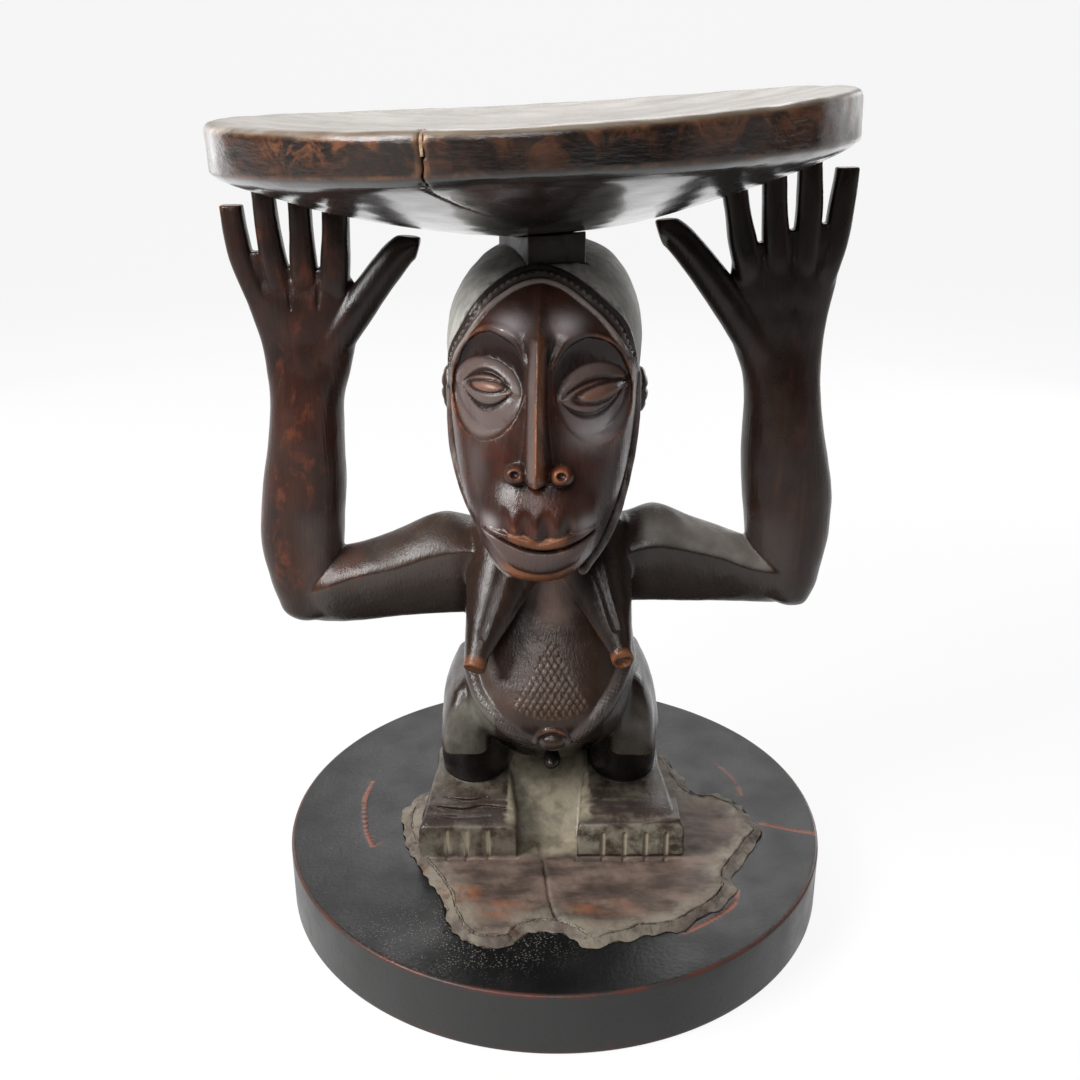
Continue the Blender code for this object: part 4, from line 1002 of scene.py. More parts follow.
for eye in EYES:
    low, high = sorted((eye.side * 2, eye.side * 54))
    face_lift((low, 64), (high, 124), lambda aside, up, e=eye: eye_height(aside, up, *e))
BROWS = (
    ((-36, 113.5), (-31.5, 118.5), (-28, 120), (-23, 121.6), (-15.2, 119.3), (-9.2, 113.5), (-6.0, 106)),
    ((39, 108.5), (34.5, 113.5), (29.5, 116.6), (21.7, 118.9), (15.2, 117.2), (9.8, 112.8), (6.0, 106)),
)
for brow in BROWS:
    line = front(curve(brow, 4), head_field)
    limit = np.interp(line[:, 2], (104, 124), (-78, -66.5)) + 0.012 * line[:, 0] ** 2
    line[:, 1] = np.minimum(line[:, 1], limit)
    figure.add(on_head(bar(line, np.interp(range(25), (0, 6, 14, 20, 24), (0.5, 1.1, 1.7, 2.0, 1.4)))), 0.9)
crest = front([(-0.8, 138), (-0.8, 130), (-0.8, 122), (-0.8, 114)], head_field)
figure.add(on_head(bar(curve(crest, 3), np.interp(range(10), (0, 9), (1.2, 3.6)))), 3.5)
for side in SIDES:
    groove = [(side * 12.5, -97, 63), (side * 10, -95, 72), (side * 7.5, -93, 84), (side * 7, -90, 98)]
    figure.cut(on_head(bar(curve(groove, 3), np.linspace(5.5, 3.2, 10))), 5)
NOSE = (
    (53.0, -0.8, 7.6, -106, -78), (57, -0.8, 7.8, -107, -78), (66, -0.8, 6.6, -104.5, -76),
    (80, -0.8, 5.6, -99.5, -72), (98, -0.7, 5.2, -94, -68), (110, -0.7, 5.6, -89.5, -64),
    (118, -0.7, 7.0, -84.5, -61), (126, -0.7, 6.0, -75, -56), (136, -0.7, 3.5, -62.5, -48),
)
figure.add(on_head(upright(NOSE, 1.2, 1.2)), 1.2)
for side, out, up in ((-1, -10.6, 57.3), (1, 10.8, 56.8)):
    figure.add(on_head(ball((out, -95.5, up), (6.0, 6.5, 5.2))), 0.7)
    figure.cut(on_head(ball((out + side * 0.3, -103.0, up + 1.4), (2.7, 4.2, 2.1))), 0.5)
    crease = [(out - side * 5.2, -102.0, up - 4), (out - side * 5.4, -103, up + 5)]
    figure.cut(on_head(bar(crease, (1.1, 0.7))), 0.5)
MOUTH = (
    (-29, 31.0), (-23.5, 29.0), (-15.4, 25.6), (-6.5, 22.3), (2.4, 21.0), (11.1, 21.8), (19.9, 25.0),
    (28.5, 29.8),
)
LIP_TOP = (
    (-29, 31.6), (-18.8, 30.4), (-10.8, 28.9), (-4.2, 27.4), (0.7, 25.6), (6.8, 27.2), (15.5, 29.4),
    (28.5, 31.2),
)
LIP_FOOT = (
    (-29, 30.0), (-23.7, 22.3), (-18, 15.6), (-11.1, 10.6), (0.1, 8.3), (11.2, 9.8), (21.1, 15.0),
    (28.5, 28.5),
)
mouth_line, lip_top, lip_foot = (curve(line, 5).T for line in (MOUTH, LIP_TOP, LIP_FOOT))


def lips_height(aside, up):
    """A full lower lip, a thin notched upper lip, the groove between, and short flutes above."""
    mouth, top, foot = (np.interp(aside, *line) for line in (mouth_line, lip_top, lip_foot))
    share = np.clip((up - foot) / np.maximum(mouth - foot, 0.2), 0, 1)
    height = 2.0 * (4 * share * (1 - share)) ** 0.5 * (np.abs(aside) < 28)
    share = np.clip((up - mouth) / np.maximum(top - mouth, 0.2), 0, 1)
    height = height + 1.7 * (4 * share * (1 - share)) ** 0.5 * (np.abs(aside) < 28)
    height = height - 2.0 * np.exp(-(((up - mouth) / 0.9) ** 2)) * np.clip((29 - np.abs(aside)) / 4, 0, 1)
    over = np.clip((up - top) / 2, 0, 1) * np.clip((42 - up) / 9, 0, 1)
    over = over * np.clip((20 - np.abs(aside + 0.5)) / 5, 0, 1)
    return height + 1.4 * over * np.cos(2 * math.pi * (aside + 1) / 10.6)


face_lift((-31, 4), (31, 48), lips_height)


def soft_spot(a, b):
    """1 in the middle of a soft spot, less with two distances that are measured in its size."""
    return np.exp(-(a**2) - b**2)


def forehead_height(aside, up):
    """A low bulge over each brow."""
    return 2.0 * soft_spot((up - 120) / 5.5, (np.abs(aside + 0.8) - 13) / 9)


face_lift((-34, 104), (34, 138), forehead_height)
figure.cut(on_head(turned(box((0, -84, -7), (42, 42, 8), 1), (0, -98, 2), "X", -10)), 0.5)
FRAME_LEFT = (
    (-15, -77, -1), (-22.5, -71, 4.5), (-31, -61, 18.4), (-39.3, -49, 32), (-45, -40, 48),
    (-47, -36, 63.5), (-46.8, -38, 85),
)
FRAME_RIGHT = (
    (21.5, -75, 0.5), (32, -63, 12.3), (38.6, -53, 25), (43.2, -43, 41), (46, -38, 57), (47.3, -35, 74),
    (46.5, -38, 93),
)
INNER = (
    (-41.4, 105), (-35.9, 115), (-26.7, 127.4), (-18, 134.6), (-9.4, 139), (0, 140.5), (9.3, 138.5),
    (19.3, 132.4), (31.6, 121.2), (39.8, 109),
)
OUTER = (
    (-44.6, 104), (-40.5, 114), (-30, 130.5), (-17, 141.5), (-5, 145.2), (4.3, 145.0), (14.6, 141.3),
    (27, 133), (39.8, 119.8), (44.6, 105),
)
inner_ridge = curve(np.vstack([FRAME_LEFT[-1:], front(INNER, head_field), FRAME_RIGHT[-1:]]), 5)
outer_ridge = curve(np.vstack([FRAME_LEFT[-1:], front(OUTER, head_field) + (0, 1, 0), FRAME_RIGHT[-1:]]), 5)
braid = (inner_ridge + outer_ridge) / 2
figure.add(on_head(bar(inner_ridge, 1.5)), 0.6)
figure.add(on_head(bar(braid, 1.9)), 0.5)
figure.add(on_head(bar(outer_ridge, 1.8)), 0.5)
for line in (FRAME_LEFT, FRAME_RIGHT):
    figure.add(on_head(bar(curve(line, 4), 2.5)), 0.7)
lengths = np.concatenate([[0], np.cumsum(np.linalg.norm(np.diff(braid, axis=0), axis=1))])
for spot in np.arange(16, lengths[-1] - 16, 3.6):
    middle = np.array([np.interp(spot, lengths, braid[:, i]) for i in range(3)])
    outward = unit(middle - (0, -12, 88))
    strand = [middle + outward * 2.2 + (0, -2.4, -0.6), middle + outward * 2.2 + (0, 2.4, 0.6)]
    figure.cut(on_head(bar(strand, 0.75)), 0.3)
for side in SIDES:
    figure.add(on_head(ball((side * 49.6, -20, 80), (4.2, 7, 12))), 1.0)
    for z in (74, 81, 88):
        figure.cut(on_head(bar([(side * 54.2, -30, z), (side * 54.2, -12, z)], 1.7)), 0.5)

# Crown post
# A square block left standing on the crown, turned a little, that runs up into the seat's mortise.
POST_TURN = 16.0
POST_MIDDLE = (-4.0, -11.5)
POST_HALF = (14.5, 29.5)
TENON_HALF = 10.0
TENON_LENGTH = 18.0
SEAT_HEIGHT = 347.5
POST_LEAN = 0.011
SEAT_OFFSET = 4.0
post_x = -SEAT_HEIGHT * POST_LEAN
post = box((post_x + POST_MIDDLE[0], POST_MIDDLE[1], SEAT_HEIGHT - 17), (*POST_HALF, 32), 0.8)
figure.add(turned(post, (post_x, 0, SEAT_HEIGHT), "Z", POST_TURN), 0.8)

SEAT_RADIUS = 163.0
SEAT_TILT = 2.86
SEAT_BELLY, SEAT_BEVEL, SEAT_BEVEL_RISE, SEAT_RIM = 36.5, 5.0, 4.5, 17.0
SEAT_SQUEEZE, SEAT_SHIFT = 0.979, 1.8
SEAT_LIP, SEAT_DISH, SEAT_BOW = 12.0, 9.0, 5.0
seat_middle = np.array((FIGURE_X + post_x - SEAT_OFFSET, 0, stand[2] + SEAT_HEIGHT))


def seat_underside(x, y):
    """The underside's height in the seat's own frame."""
    return SEAT_BELLY * np.minimum(np.hypot(x, y) / (SEAT_RADIUS - SEAT_BEVEL), 1) ** 1.75


def bearing(x, y, z):
    """Distance above the seat's underside, seen from the figure."""
    x, y, z = (p + s - m for p, s, m in zip((x, y, z), stand, seat_middle))
    across, rise = spun(x, z, SEAT_TILT)
    return seat_underside((across - SEAT_SHIFT) / SEAT_SQUEEZE, y) - GAP - rise


figure.cut(Shape((-172, -60, 340), (160, 30, 420), bearing), 0.3)
tenon_half = (TENON_HALF, TENON_HALF, TENON_LENGTH / 2 + 5)
tenon = box((post_x, 0, SEAT_HEIGHT + TENON_LENGTH / 2 - 5), tenon_half, 0.5)
figure.add(turned(tenon, (post_x, 0, SEAT_HEIGHT), "Z", POST_TURN), 0)


def tool_marks(points):
    """The unevenness that the knife leaves, and a rougher face on the broken plinth."""
    low = ease(-points[:, 2], -1.5, 0.5)
    carved = 0.16 * ripple(points, 26, 11) + 0.07 * ripple(points, 9, 12)
    torn = 0.55 * ripple(points, 30, 13) + 0.4 * ripple(points, 11, 14) + 0.2 * ripple(points, 5, 15)
    away = ease(np.abs(points[:, 2] + 11), 0.5, 2)
    return carved * (1 - low) + torn * low * away


carved_figure = figure.piece("carved_caryatid_figure", stand * MM, FIGURE_FACES, tool_marks)

points, normals = points_of(carved_figure)
points = points / MM - stand
x, y, z = points.T
aside, ahead, up = head_frame(x, y, z)
head_points = np.stack([aside, ahead, up], axis=1)
bend = bend_of(carved_figure, 2)
broad = bend_of(carved_figure, 10)
masks = {}

post_across, post_deep = spun(x - post_x, y, POST_TURN)
post_across = np.abs(post_across - POST_MIDDLE[0]) - POST_HALF[0]
post_deep = np.abs(post_deep - POST_MIDDLE[1]) - POST_HALF[1]
in_post = (np.maximum(post_across, post_deep) < 0.8) & (z > 312)
in_neck = (np.hypot(x + 2.5, y + 3) < 31) & (up < 46) & (ahead > -38)
in_shoulder = (up < 14) & (ahead > -42)
head = (np.abs(aside) < 62) & (up > -3) & (up < 156) & (ahead < 58) & ~in_neck & ~in_post & ~in_shoulder
masks["post"] = in_post

LINE_STEPS = 14
left_rim, right_rim = curve(FRAME_LEFT, LINE_STEPS), curve(FRAME_RIGHT, LINE_STEPS)[::-1]
crown_rim = curve(outer_ridge[::5], LINE_STEPS)
rim_line = np.vstack([left_rim, crown_rim, right_rim])
on_crown = np.concatenate([np.zeros(len(left_rim)), np.ones(len(crown_rim)), np.zeros(len(right_rim))])
behind = np.full(len(points), -FAR)
frame_gap = np.full(len(points), FAR)
for some in np.array_split(np.flatnonzero(head), CHUNKS):
    away = head_points[some, None, :] - rim_line[None]
    gap = np.linalg.norm(away, axis=2)
    near = gap.argmin(axis=1)
    step = away[np.arange(len(some)), near]
    behind[some] = step[:, 1] + 0.3 * step[:, 2] * on_crown[near]
    frame_gap[some] = np.where(on_crown[near] == 0, gap[np.arange(len(some)), near], FAR)
ear = (np.abs(aside) > 50) & (np.hypot((ahead + 20) / 9, (up - 80) / 13.5) < 1)
hair = head * ease(behind, 1.0, 2.2) * ~ear
masks["hair"] = np.maximum(hair, head * ease(-frame_gap, -2.7, -1.9))
face = head * (behind < 1.5) * ease(-ahead, 25, 40)
masks["face"] = face

over_brow = head & (up > 78) & (ahead < 0)
light_gap = line_gap(head_points, curve(inner_ridge[::5], LINE_STEPS), over_brow)
dark_gap = line_gap(head_points, np.vstack([crown_rim, curve(braid[::5], LINE_STEPS)]), over_brow)
outer_gap = line_gap(head_points, crown_rim, dark_gap < 9)
masks["diadem_braid"] = ease(-dark_gap, -2.6, -1.9) * ease(outer_gap, 1.2, 2.2)
masks["diadem_dark"] = ease(-outer_gap, -2.6, -1.6)
masks["diadem_light"] = ease(-light_gap, -1.9, -1.4) * ease(dark_gap - light_gap, 0.3, 0.8)

mouth, lip, foot = (np.interp(aside, *line) for line in (mouth_line, lip_top, lip_foot))
worn = 0.9 * face * ease(-np.abs(aside - 0.8), -2.3, -0.9) * ease(up, 53, 58) * ease(-up, -128, -112)
worn = worn * ease(-ahead, 78, 84)
worn = np.maximum(worn, 0.9 * face * ease(-np.abs(aside), -16, -11) * (up > mouth + 0.8) * (up < lip + 1))
chin = face * ease(up, 1.5, 3) * ease(foot - up, -0.6, 1.0) * ease(-np.abs(aside), -22, -14)
worn = np.maximum(worn, chin)
for nipple in NIPPLES:
    worn = np.maximum(worn, ease(-np.linalg.norm(points - np.array(nipple), axis=1), -8.5, -6.5))
socket, lid = np.zeros(len(points)), np.zeros(len(points))
for eye in EYES:
    middle, level, wide, over, under = eye.lids
    out = eye.side * (EYE_OUT - DISH_SLANT * (up - eye.up))
    tall = np.where(up > eye.up, DISH_UP, DISH_DOWN)
    dish = face * ease(-np.hypot((aside - out) / DISH_HALF, (up - eye.up) / tall), -1.0, -0.9)
    mound = ease(-np.hypot((aside - middle) / 17.2, (up - level + 1.5) / 15), -1.06, -0.96)
    below = ease(level - up, 0, 6)
    lid = np.maximum(lid, dish * np.maximum(mound, below))
    socket = np.maximum(socket, dish * (1 - mound) * (1 - below))
    u = (aside - middle) / wide
    level = level + eye.tilt * (aside - middle)
    v = np.abs(up - level) / np.where(up > level, over, under) / np.clip(1 - u * u, 0.05, 1)
    outline = face * (np.abs(u) < 1.02) * ease(-np.abs(v - 1.08), -0.30, -0.12)
    middle, level, wide, tall = eye.lens
    rim = np.hypot((aside - middle) / wide, (up - level - eye.tilt * (aside - middle)) / tall)
    worn = np.maximum(worn, 0.6 * face * ease(-rim, -1.0, -0.7))
    outline = np.maximum(outline, 0.8 * face * ease(-np.abs(rim - 1.25), -0.3, -0.15))
    socket = np.maximum(socket, 0.9 * outline)
    lid = lid * (1 - outline)
nose_side = face * ease(-np.abs(aside + 3.2), -2.6, -1.2) * (up > 56) * (up < 118) * ease(-ahead, 80, 86)
lower_lip = face * ease(mouth - up, 0.8, 2) * ease(up - foot, 0.5, 3) * (np.abs(aside) < 26)
# Painted light: the eye mounds, the dish under each eye, the left face of the nose and the lower lip are
# painted pale grey, as where they face up into the lamps.
masks["lid"] = np.maximum(np.maximum(lid, nose_side), 0.7 * lower_lip)
# Painted shade: the sunk upper part of each eye dish and thin lines round the eyes and their lenses are
# painted near black.
masks["socket"] = socket
masks["worn"] = worn
# Painted highlights: pale spots on the bulges over the brows, under the right eye, on the left cheek and
# beside the mouth, where a lamp would glint; a clear coat lies on the same spots.
brow_highlight = soft_spot((up - 123.5) / 4.5, (np.abs(aside + 0.8) - 13) / 7)
under_eye_highlight = soft_spot((up - 74.5) / 7, (aside - 28) / 11)
cheek_highlight = soft_spot((up - 60) / 16, (aside + 30) / 5)
mouth_side_highlight = soft_spot((up - 33) / 4, (np.abs(aside) - 23) / 4)
masks["shine"] = face * np.minimum(brow_highlight + under_eye_highlight + 0.1 * cheek_highlight + 0.7 * mouth_side_highlight, 1)
lip_side = face * ease(np.abs(aside), 9, 14) * (up < lip + 3) * (up > foot)
masks["ridge"] = ease(bend, 0.10, 0.34) * (1 - 0.85 * lip_side) * (1 - 0.8 * ease(-z, -34, -28))
masks["hollow"] = ease(-broad, 0.03, 0.20)

masks["hand"] = ease(np.abs(x), 72, 84) * ease(z, 262, 300)
masks["forearm"] = ease(np.abs(x), 100, 108) * ease(z, 140, 165) * np.where(x > 0, 0.3, 1.0)
arm = ease(np.abs(x), 48, 56) * ease(-np.abs(x), -142, -128) * ease(z, 128, 134) * ease(-z, -205, -190)
# Partly dust and partly painted light: faces of the upper arms that turn upward are painted pale beige,
# almost only on the right arm, which the key lamp reaches less.
masks["arm_top"] = arm * ease(normals[:, 2], 0.25, 0.7) * np.where(x > 0, 1.0, 0.05)
# Painted light: faces of the upper arms that turn downward are painted lighter.
masks["arm_low"] = arm * ease(-normals[:, 2], -0.2, 0.1)
# Painted highlight: lighter colour on the breastbone between the breasts and on a spot on the left of the
# belly.
breastbone_highlight = ease(-np.abs(x - 0.5), -17, -7) * ease(z, 138, 150) * ease(-z, -190, -180) * ease(-y, 18, 24)
belly_highlight = 0.7 * soft_spot((x + 26) / 12, (z - 114) / 14) * (y < -30)
masks["chest"] = np.maximum(breastbone_highlight, belly_highlight)
masks["lattice"] = lattice_field(x, z) * (y < -30) * ease(bend, -0.05, 0.15)
on_belly = (y < -25) & (z > 75) & (z < 125)
band_gap = np.minimum(*(line_gap(points[:, [0, 2]], curve(line, 6), on_belly) for line in BAND))
masks["band"] = ease(-band_gap, -5.5, -4)

leg = (np.abs(np.abs(x) - 44) < 25) & (y < 40)
# Partly a grey tone on the flat fronts of the thighs and partly painted shade: the right thigh gets half as
# much, so it stays darker.
shin = leg * ease(z, 62, 64) * ease(-z, -112, -96) * ease(-y, 37, 42) * (np.abs(x) > 30)
masks["shin"] = shin * np.where(x > 0, 0.5, 1.0)
# Near black on the undercut ankles and below the belly, partly dark patina and partly painted shade; the
# line under the toes is a painted shadow in the gap.
ankle = leg * ease(z, 29, 33) * ease(-z, -84, -80) * ease(-y, -12, 6) * ease(y, -33, -27)
pendant = ease(-np.linalg.norm(points - (1.8, -38, 57), axis=1), -12, -9) * (y < -36)
under_toes = ((x > 16) & (x < 79)) | ((x < -18) & (x > -74))
toe_gap_shadow = ease(-np.hypot(y + 52, z - 0.8), -2.4, -1.5) * under_toes
masks["ankle"] = np.maximum(np.maximum(ankle, pendant), toe_gap_shadow)
cuts = np.zeros(len(points))
for cut in TOE_CUTS:
    cuts = np.maximum(cuts, ease(-np.abs(x - cut), -2.0, -0.9) * (y < -44) * (y > -54) * ease(-z, -20, -15))
masks["toe_line"] = cuts * ease(z, 1.2, 2.2)
masks["streaked"] = ease(-z, -36, -31) * ease(normals[:, 2], 0.4, 0.8) * ease(z, 12, 15) * ease(-y, 24, 34)
masks["web"] = (np.abs(x) < 24) * ease(-z, -50, -34) * ease(-y, -30, 0) * ease(y, -52, -44)
foot_top = ease(-z, -36, -31) * ease(normals[:, 2], 0.5, 0.9) * ease(z, 3, 6) * (y < 40)
# Partly dust and partly painted sheen: the fronts of the feet are painted pale, nearly twice as strongly on
# the right foot, for the sheen on it.
foot_front = ease(-normals[:, 1], 0.5, 0.9) * ease(-y, 44, 47) * ease(z, 2, 4) * ease(-z, -25, -22)
foot_front = np.where(x > 0, 0.95, 0.55) * foot_front
feet = np.maximum(0.38 * foot_top, np.maximum(foot_front, 0.8 * cuts * (z > 1.2)))
margin = ease(-line_gap(points[:, :2], PLATE_OUTLINE, z < 3), -14, -2)
masks["dust"] = np.maximum(feet, 0.8 * margin)
masks["plinth"] = ease(-z, -2.2, -0.4)
SCORCHES = ((-26, -97, 20, 9), (30, -96, 24, 9), (-50, -84, 22, 10))
scorch_gap = np.min([np.hypot((x - px) / wide, (y - py) / deep) for px, py, wide, deep in SCORCHES], axis=0)
masks["orange"] = ease(-scorch_gap, -1.1, -0.3) * (z < 2)
for name, values in masks.items():
    store(carved_figure, name, values)

POLISHED_ORANGE = (0.27, 0.10, 0.040)
PAINTED_HIGHLIGHT_TONE = (0.36, 0.325, 0.325)
PALE_DUST_AND_SHEEN = (0.235, 0.212, 0.165)
DRY_MUD = (0.255, 0.222, 0.160)
wood = Finish("carved_hardwood")
patches = wood.span(wood.noise(24, (1, 1, 0.5), 5), 0.32, 0.70)
wood.ground(patches, (0.014, 0.009, 0.0075), (0.036, 0.0195, 0.0135))
wood.wash(wood.span(wood.noise(230, (1, 1, 0.07), 6, 0.6, 0.3), 0.48, 0.75, 0, 0.45), (0.062, 0.033, 0.023))
red_zone = wood.math("MAXIMUM", wood.mask("face"), wood.part("forearm", 0.55))
redness = wood.span(wood.noise(30, detail=5), 0.38, 0.66, 0.15, 0.9)
wood.wash(wood.math("MULTIPLY", red_zone, redness), (0.062, 0.015, 0.0085))
wood.stain("hollow", 0.65, (0.010, 0.007, 0.006))
# Painted light on the eye mounds, under the eyes, on the nose's left face and on the lower lip.
wood.stain("lid", 0.7, (0.150, 0.115, 0.105))
# Painted highlight: pale spots on the face.
wood.stain("shine", 0.8, PAINTED_HIGHLIGHT_TONE)
# Painted shade in the eye sockets and round the eyes.
wood.stain("socket", 0.85, (0.014, 0.006, 0.005))
ridge = wood.part("ridge", wood.span(wood.noise(60, detail=5), 0.36, 0.64, 0.12, 1.0))
rubbed = wood.part("worn", wood.span(wood.noise(85, detail=5), 0.30, 0.60, 0.45, 1.0))
wood.wash(wood.math("MULTIPLY", wood.math("MAXIMUM", ridge, rubbed), 0.75), POLISHED_ORANGE)
mottle = wood.span(wood.noise(75, (1, 1, 0.55), 7, 0.65, 0.5), 0.52, 0.66, 0, 0.65)
wood.stain("forearm", mottle, (0.135, 0.038, 0.018))
wood.stain("band", 0.8, (0.052, 0.044, 0.041))
wood.stain("lattice", 0.6, (0.105, 0.070, 0.045))
wood.stain("hand", wood.span(wood.noise(45, detail=5), 0.3, 0.65, 0.75, 0.35), (0.011, 0.0085, 0.0075))
# Pale dust and painted light on the tops of the upper arms.
wood.stain("arm_top", wood.span(wood.noise(50, detail=5), 0.3, 0.65, 0.55, 0.95), (0.38, 0.345, 0.31))
wood.stain("arm_low", 0.6, (0.095, 0.078, 0.070))
# Painted light under the upper arms above; painted highlight on the chest and belly below.
wood.stain("chest", wood.span(wood.noise(60, (1, 1, 0.4), 5), 0.3, 0.65, 0.4, 0.9), (0.150, 0.102, 0.086))
# Grey thigh fronts, with painted shade on the right thigh.
wood.stain("shin", wood.span(wood.noise(70), 0.3, 0.65, 0.35, 0.95), (0.130, 0.122, 0.100))
wood.stain("post", 0.85, (0.013, 0.0105, 0.009))
# Partly dark patina, partly painted shade, and a painted shadow under the toes.
wood.stain("ankle", 0.92, (0.006, 0.005, 0.005))
strands = wood.span(wood.noise(190, (1, 1, 0.15), 5), 0.35, 0.7)
grey = wood.blend(strands, (0.42, 0.41, 0.37), (0.62, 0.605, 0.560))
wood.wash(wood.mask("hair"), wood.blend(wood.part("hollow", 0.4), grey, (0.05, 0.045, 0.04)))
wood.stain("diadem_braid", 0.9, wood.blend(wood.mask("ridge"), (0.060, 0.050, 0.044), (0.19, 0.165, 0.145)))
wood.stain("diadem_dark", 0.85, (0.022, 0.018, 0.016))
wood.stain("diadem_light", 0.8, (0.34, 0.285, 0.255))
weathered = wood.span(wood.noise(38, (1, 2.2, 1), 6), 0.34, 0.66)
earth = wood.blend(weathered, (0.062, 0.044, 0.036), (0.165, 0.118, 0.095))
scorch = wood.part("orange", wood.span(wood.noise(60, (1, 1.6, 1), 5), 0.36, 0.60, 0, 0.6))
wood.wash(wood.mask("plinth"), wood.blend(scorch, earth, (0.25, 0.088, 0.036)))
# Dust on the feet and the plinth's edge, and a painted sheen on the fronts of the feet.
dust_and_sheen = wood.part("dust", wood.span(wood.noise(85, (1, 1, 1), 7, 0.65), 0.36, 0.62, 0.10, 1.0))
wood.wash(dust_and_sheen, PALE_DUST_AND_SHEEN)
streaks = wood.span(wood.noise(95, (0.22, 1.5, 1), 6, 0.6, 0.4), 0.42, 0.58, 0, 0.85)
wood.stain("streaked", streaks, (0.034, 0.026, 0.024))
wood.stain("toe_line", 0.85, (0.30, 0.255, 0.185))
wood.stain("web", wood.span(wood.noise(110, detail=7), 0.34, 0.60, 0.45, 1.0), DRY_MUD)
matt = wood.math("MAXIMUM", wood.math("MAXIMUM", wood.mask("hair"), wood.mask("plinth")), dust_and_sheen)
matt = wood.math("MAXIMUM", matt, wood.part("post", 0.8))
polish = wood.span(wood.noise(48, detail=6), 0.3, 0.7, 0.22, 0.36)
roughness = wood.math("ADD", polish, wood.math("MULTIPLY", matt, 0.30))
wood.set(base_color=wood.colour, roughness=roughness, coat_weight=wood.mask("shine"))
wood.shader.inputs["Coat Roughness"].default_value = 0.24
wood.shader.inputs["Specular IOR Level"].default_value = 0.28
pores = wood.noise(700, (1, 1, 0.08), 4)
wood.bump(wood.math("ADD", pores, wood.math("MULTIPLY", matt, wood.noise(420, detail=7))), 0.00022)
dress(carved_figure, wood, "caryatid_figure")

# Seat
# A thick round board, dished on top and bellied underneath, set on the post's tenon and the fingers.
# The rim is worn to red and tan, the underside is dark and glossy, and a crack runs in from the front.
CRACK_ANGLE = math.radians(255)
CRACK_HALF, CRACK_THIN, CRACK_DEPTH, FILLER_DEPTH = 1.1, 0.6, 14.0, 10.0
SEAT_STEP, SEAT_FACES = 0.9, 90000
RIM_LOW = SEAT_BELLY + SEAT_BEVEL_RISE
RIM_TOP = RIM_LOW + SEAT_RIM
seat = Block((-168, -168, -2), (168, 168, RIM_TOP + SEAT_BOW + 3), SEAT_STEP)


def board(x, y, z):
    """Distance to the seat board, which stands on the middle of its underside."""
    radius = np.hypot(x, y)
    rise = SEAT_BOW * (x / SEAT_RADIUS) ** 2
    share = np.minimum(radius / (SEAT_RADIUS - SEAT_LIP), 1.0)
    top = z - (RIM_TOP + rise - SEAT_DISH * (1 - share**2))
    under = (seat_underside(x, y) - z) * 0.92
    wobble = 0.7 * np.sin(3 * np.arctan2(y, x) + 0.6) + 0.4 * np.sin(7 * np.arctan2(y, x))
    side = radius - SEAT_RADIUS - wobble * 0.6 + 0.6
    slope = SEAT_BEVEL_RISE / SEAT_BEVEL
    bevel = ((radius - SEAT_RADIUS + SEAT_BEVEL) * slope - (z - SEAT_BELLY)) / math.hypot(1, slope)
    return soft_max(soft_max(side, top, 5.0), soft_max(under, bevel, 1.5), 1.2)


seat.add(Shape((-SEAT_RADIUS, -SEAT_RADIUS, 0), (SEAT_RADIUS, SEAT_RADIUS, RIM_TOP + SEAT_BOW), board), 0)
crack_out = np.array((math.cos(CRACK_ANGLE), math.sin(CRACK_ANGLE)))
crack_side = np.array((-crack_out[1], crack_out[0]))


def crack(x, y, z):
    """A wedge in from the rim, wandering a little with height."""
    along = x * crack_out[0] + y * crack_out[1]
    aside = x * crack_side[0] + y * crack_side[1] + 0.5 * np.sin(z * 0.35) + 0.25 * np.sin(z * 1.1)
    inner = SEAT_RADIUS - CRACK_DEPTH
    half = np.where(z > RIM_TOP - FILLER_DEPTH, CRACK_HALF, CRACK_THIN)
    half = half * np.clip((along - inner + 4) / (CRACK_DEPTH + 4), 0.1, 1)
    return np.maximum(np.abs(aside) - half, inner - along)


crack_end = crack_out * SEAT_RADIUS
crack_low = (crack_end[0] - 12, crack_end[1] - 4, 20)
crack_high = (crack_end[0] + 12, crack_end[1] + 20, RIM_TOP + 9)
seat.cut(Shape(crack_low, crack_high, crack), 0.3)
UNDER_CRACK = ((-43.0, -152.0), (-36, -141), (-30, -131), (-20, -116))
crack_line = [(px, py, float(seat_underside(px, py))) for px, py in curve(UNDER_CRACK, 3)]
seat.cut(bar(crack_line, np.linspace(0.8, 0.5, len(crack_line))), 0.3)
mortise_x = (SEAT_OFFSET - SEAT_SHIFT) / SEAT_SQUEEZE
mortise_half = TENON_HALF + 2 * GAP
mortise = box((mortise_x, 0, 6), (mortise_half, mortise_half, TENON_LENGTH - 5), 0.4)
seat.cut(turned(mortise, (mortise_x, 0, 0), "Z", POST_TURN), 0.2)


def hewn(points):
    """Long shallow hollows of the adze on the board."""
    return 0.30 * ripple(points, 48, 21) + 0.14 * ripple(points, 17, 22)


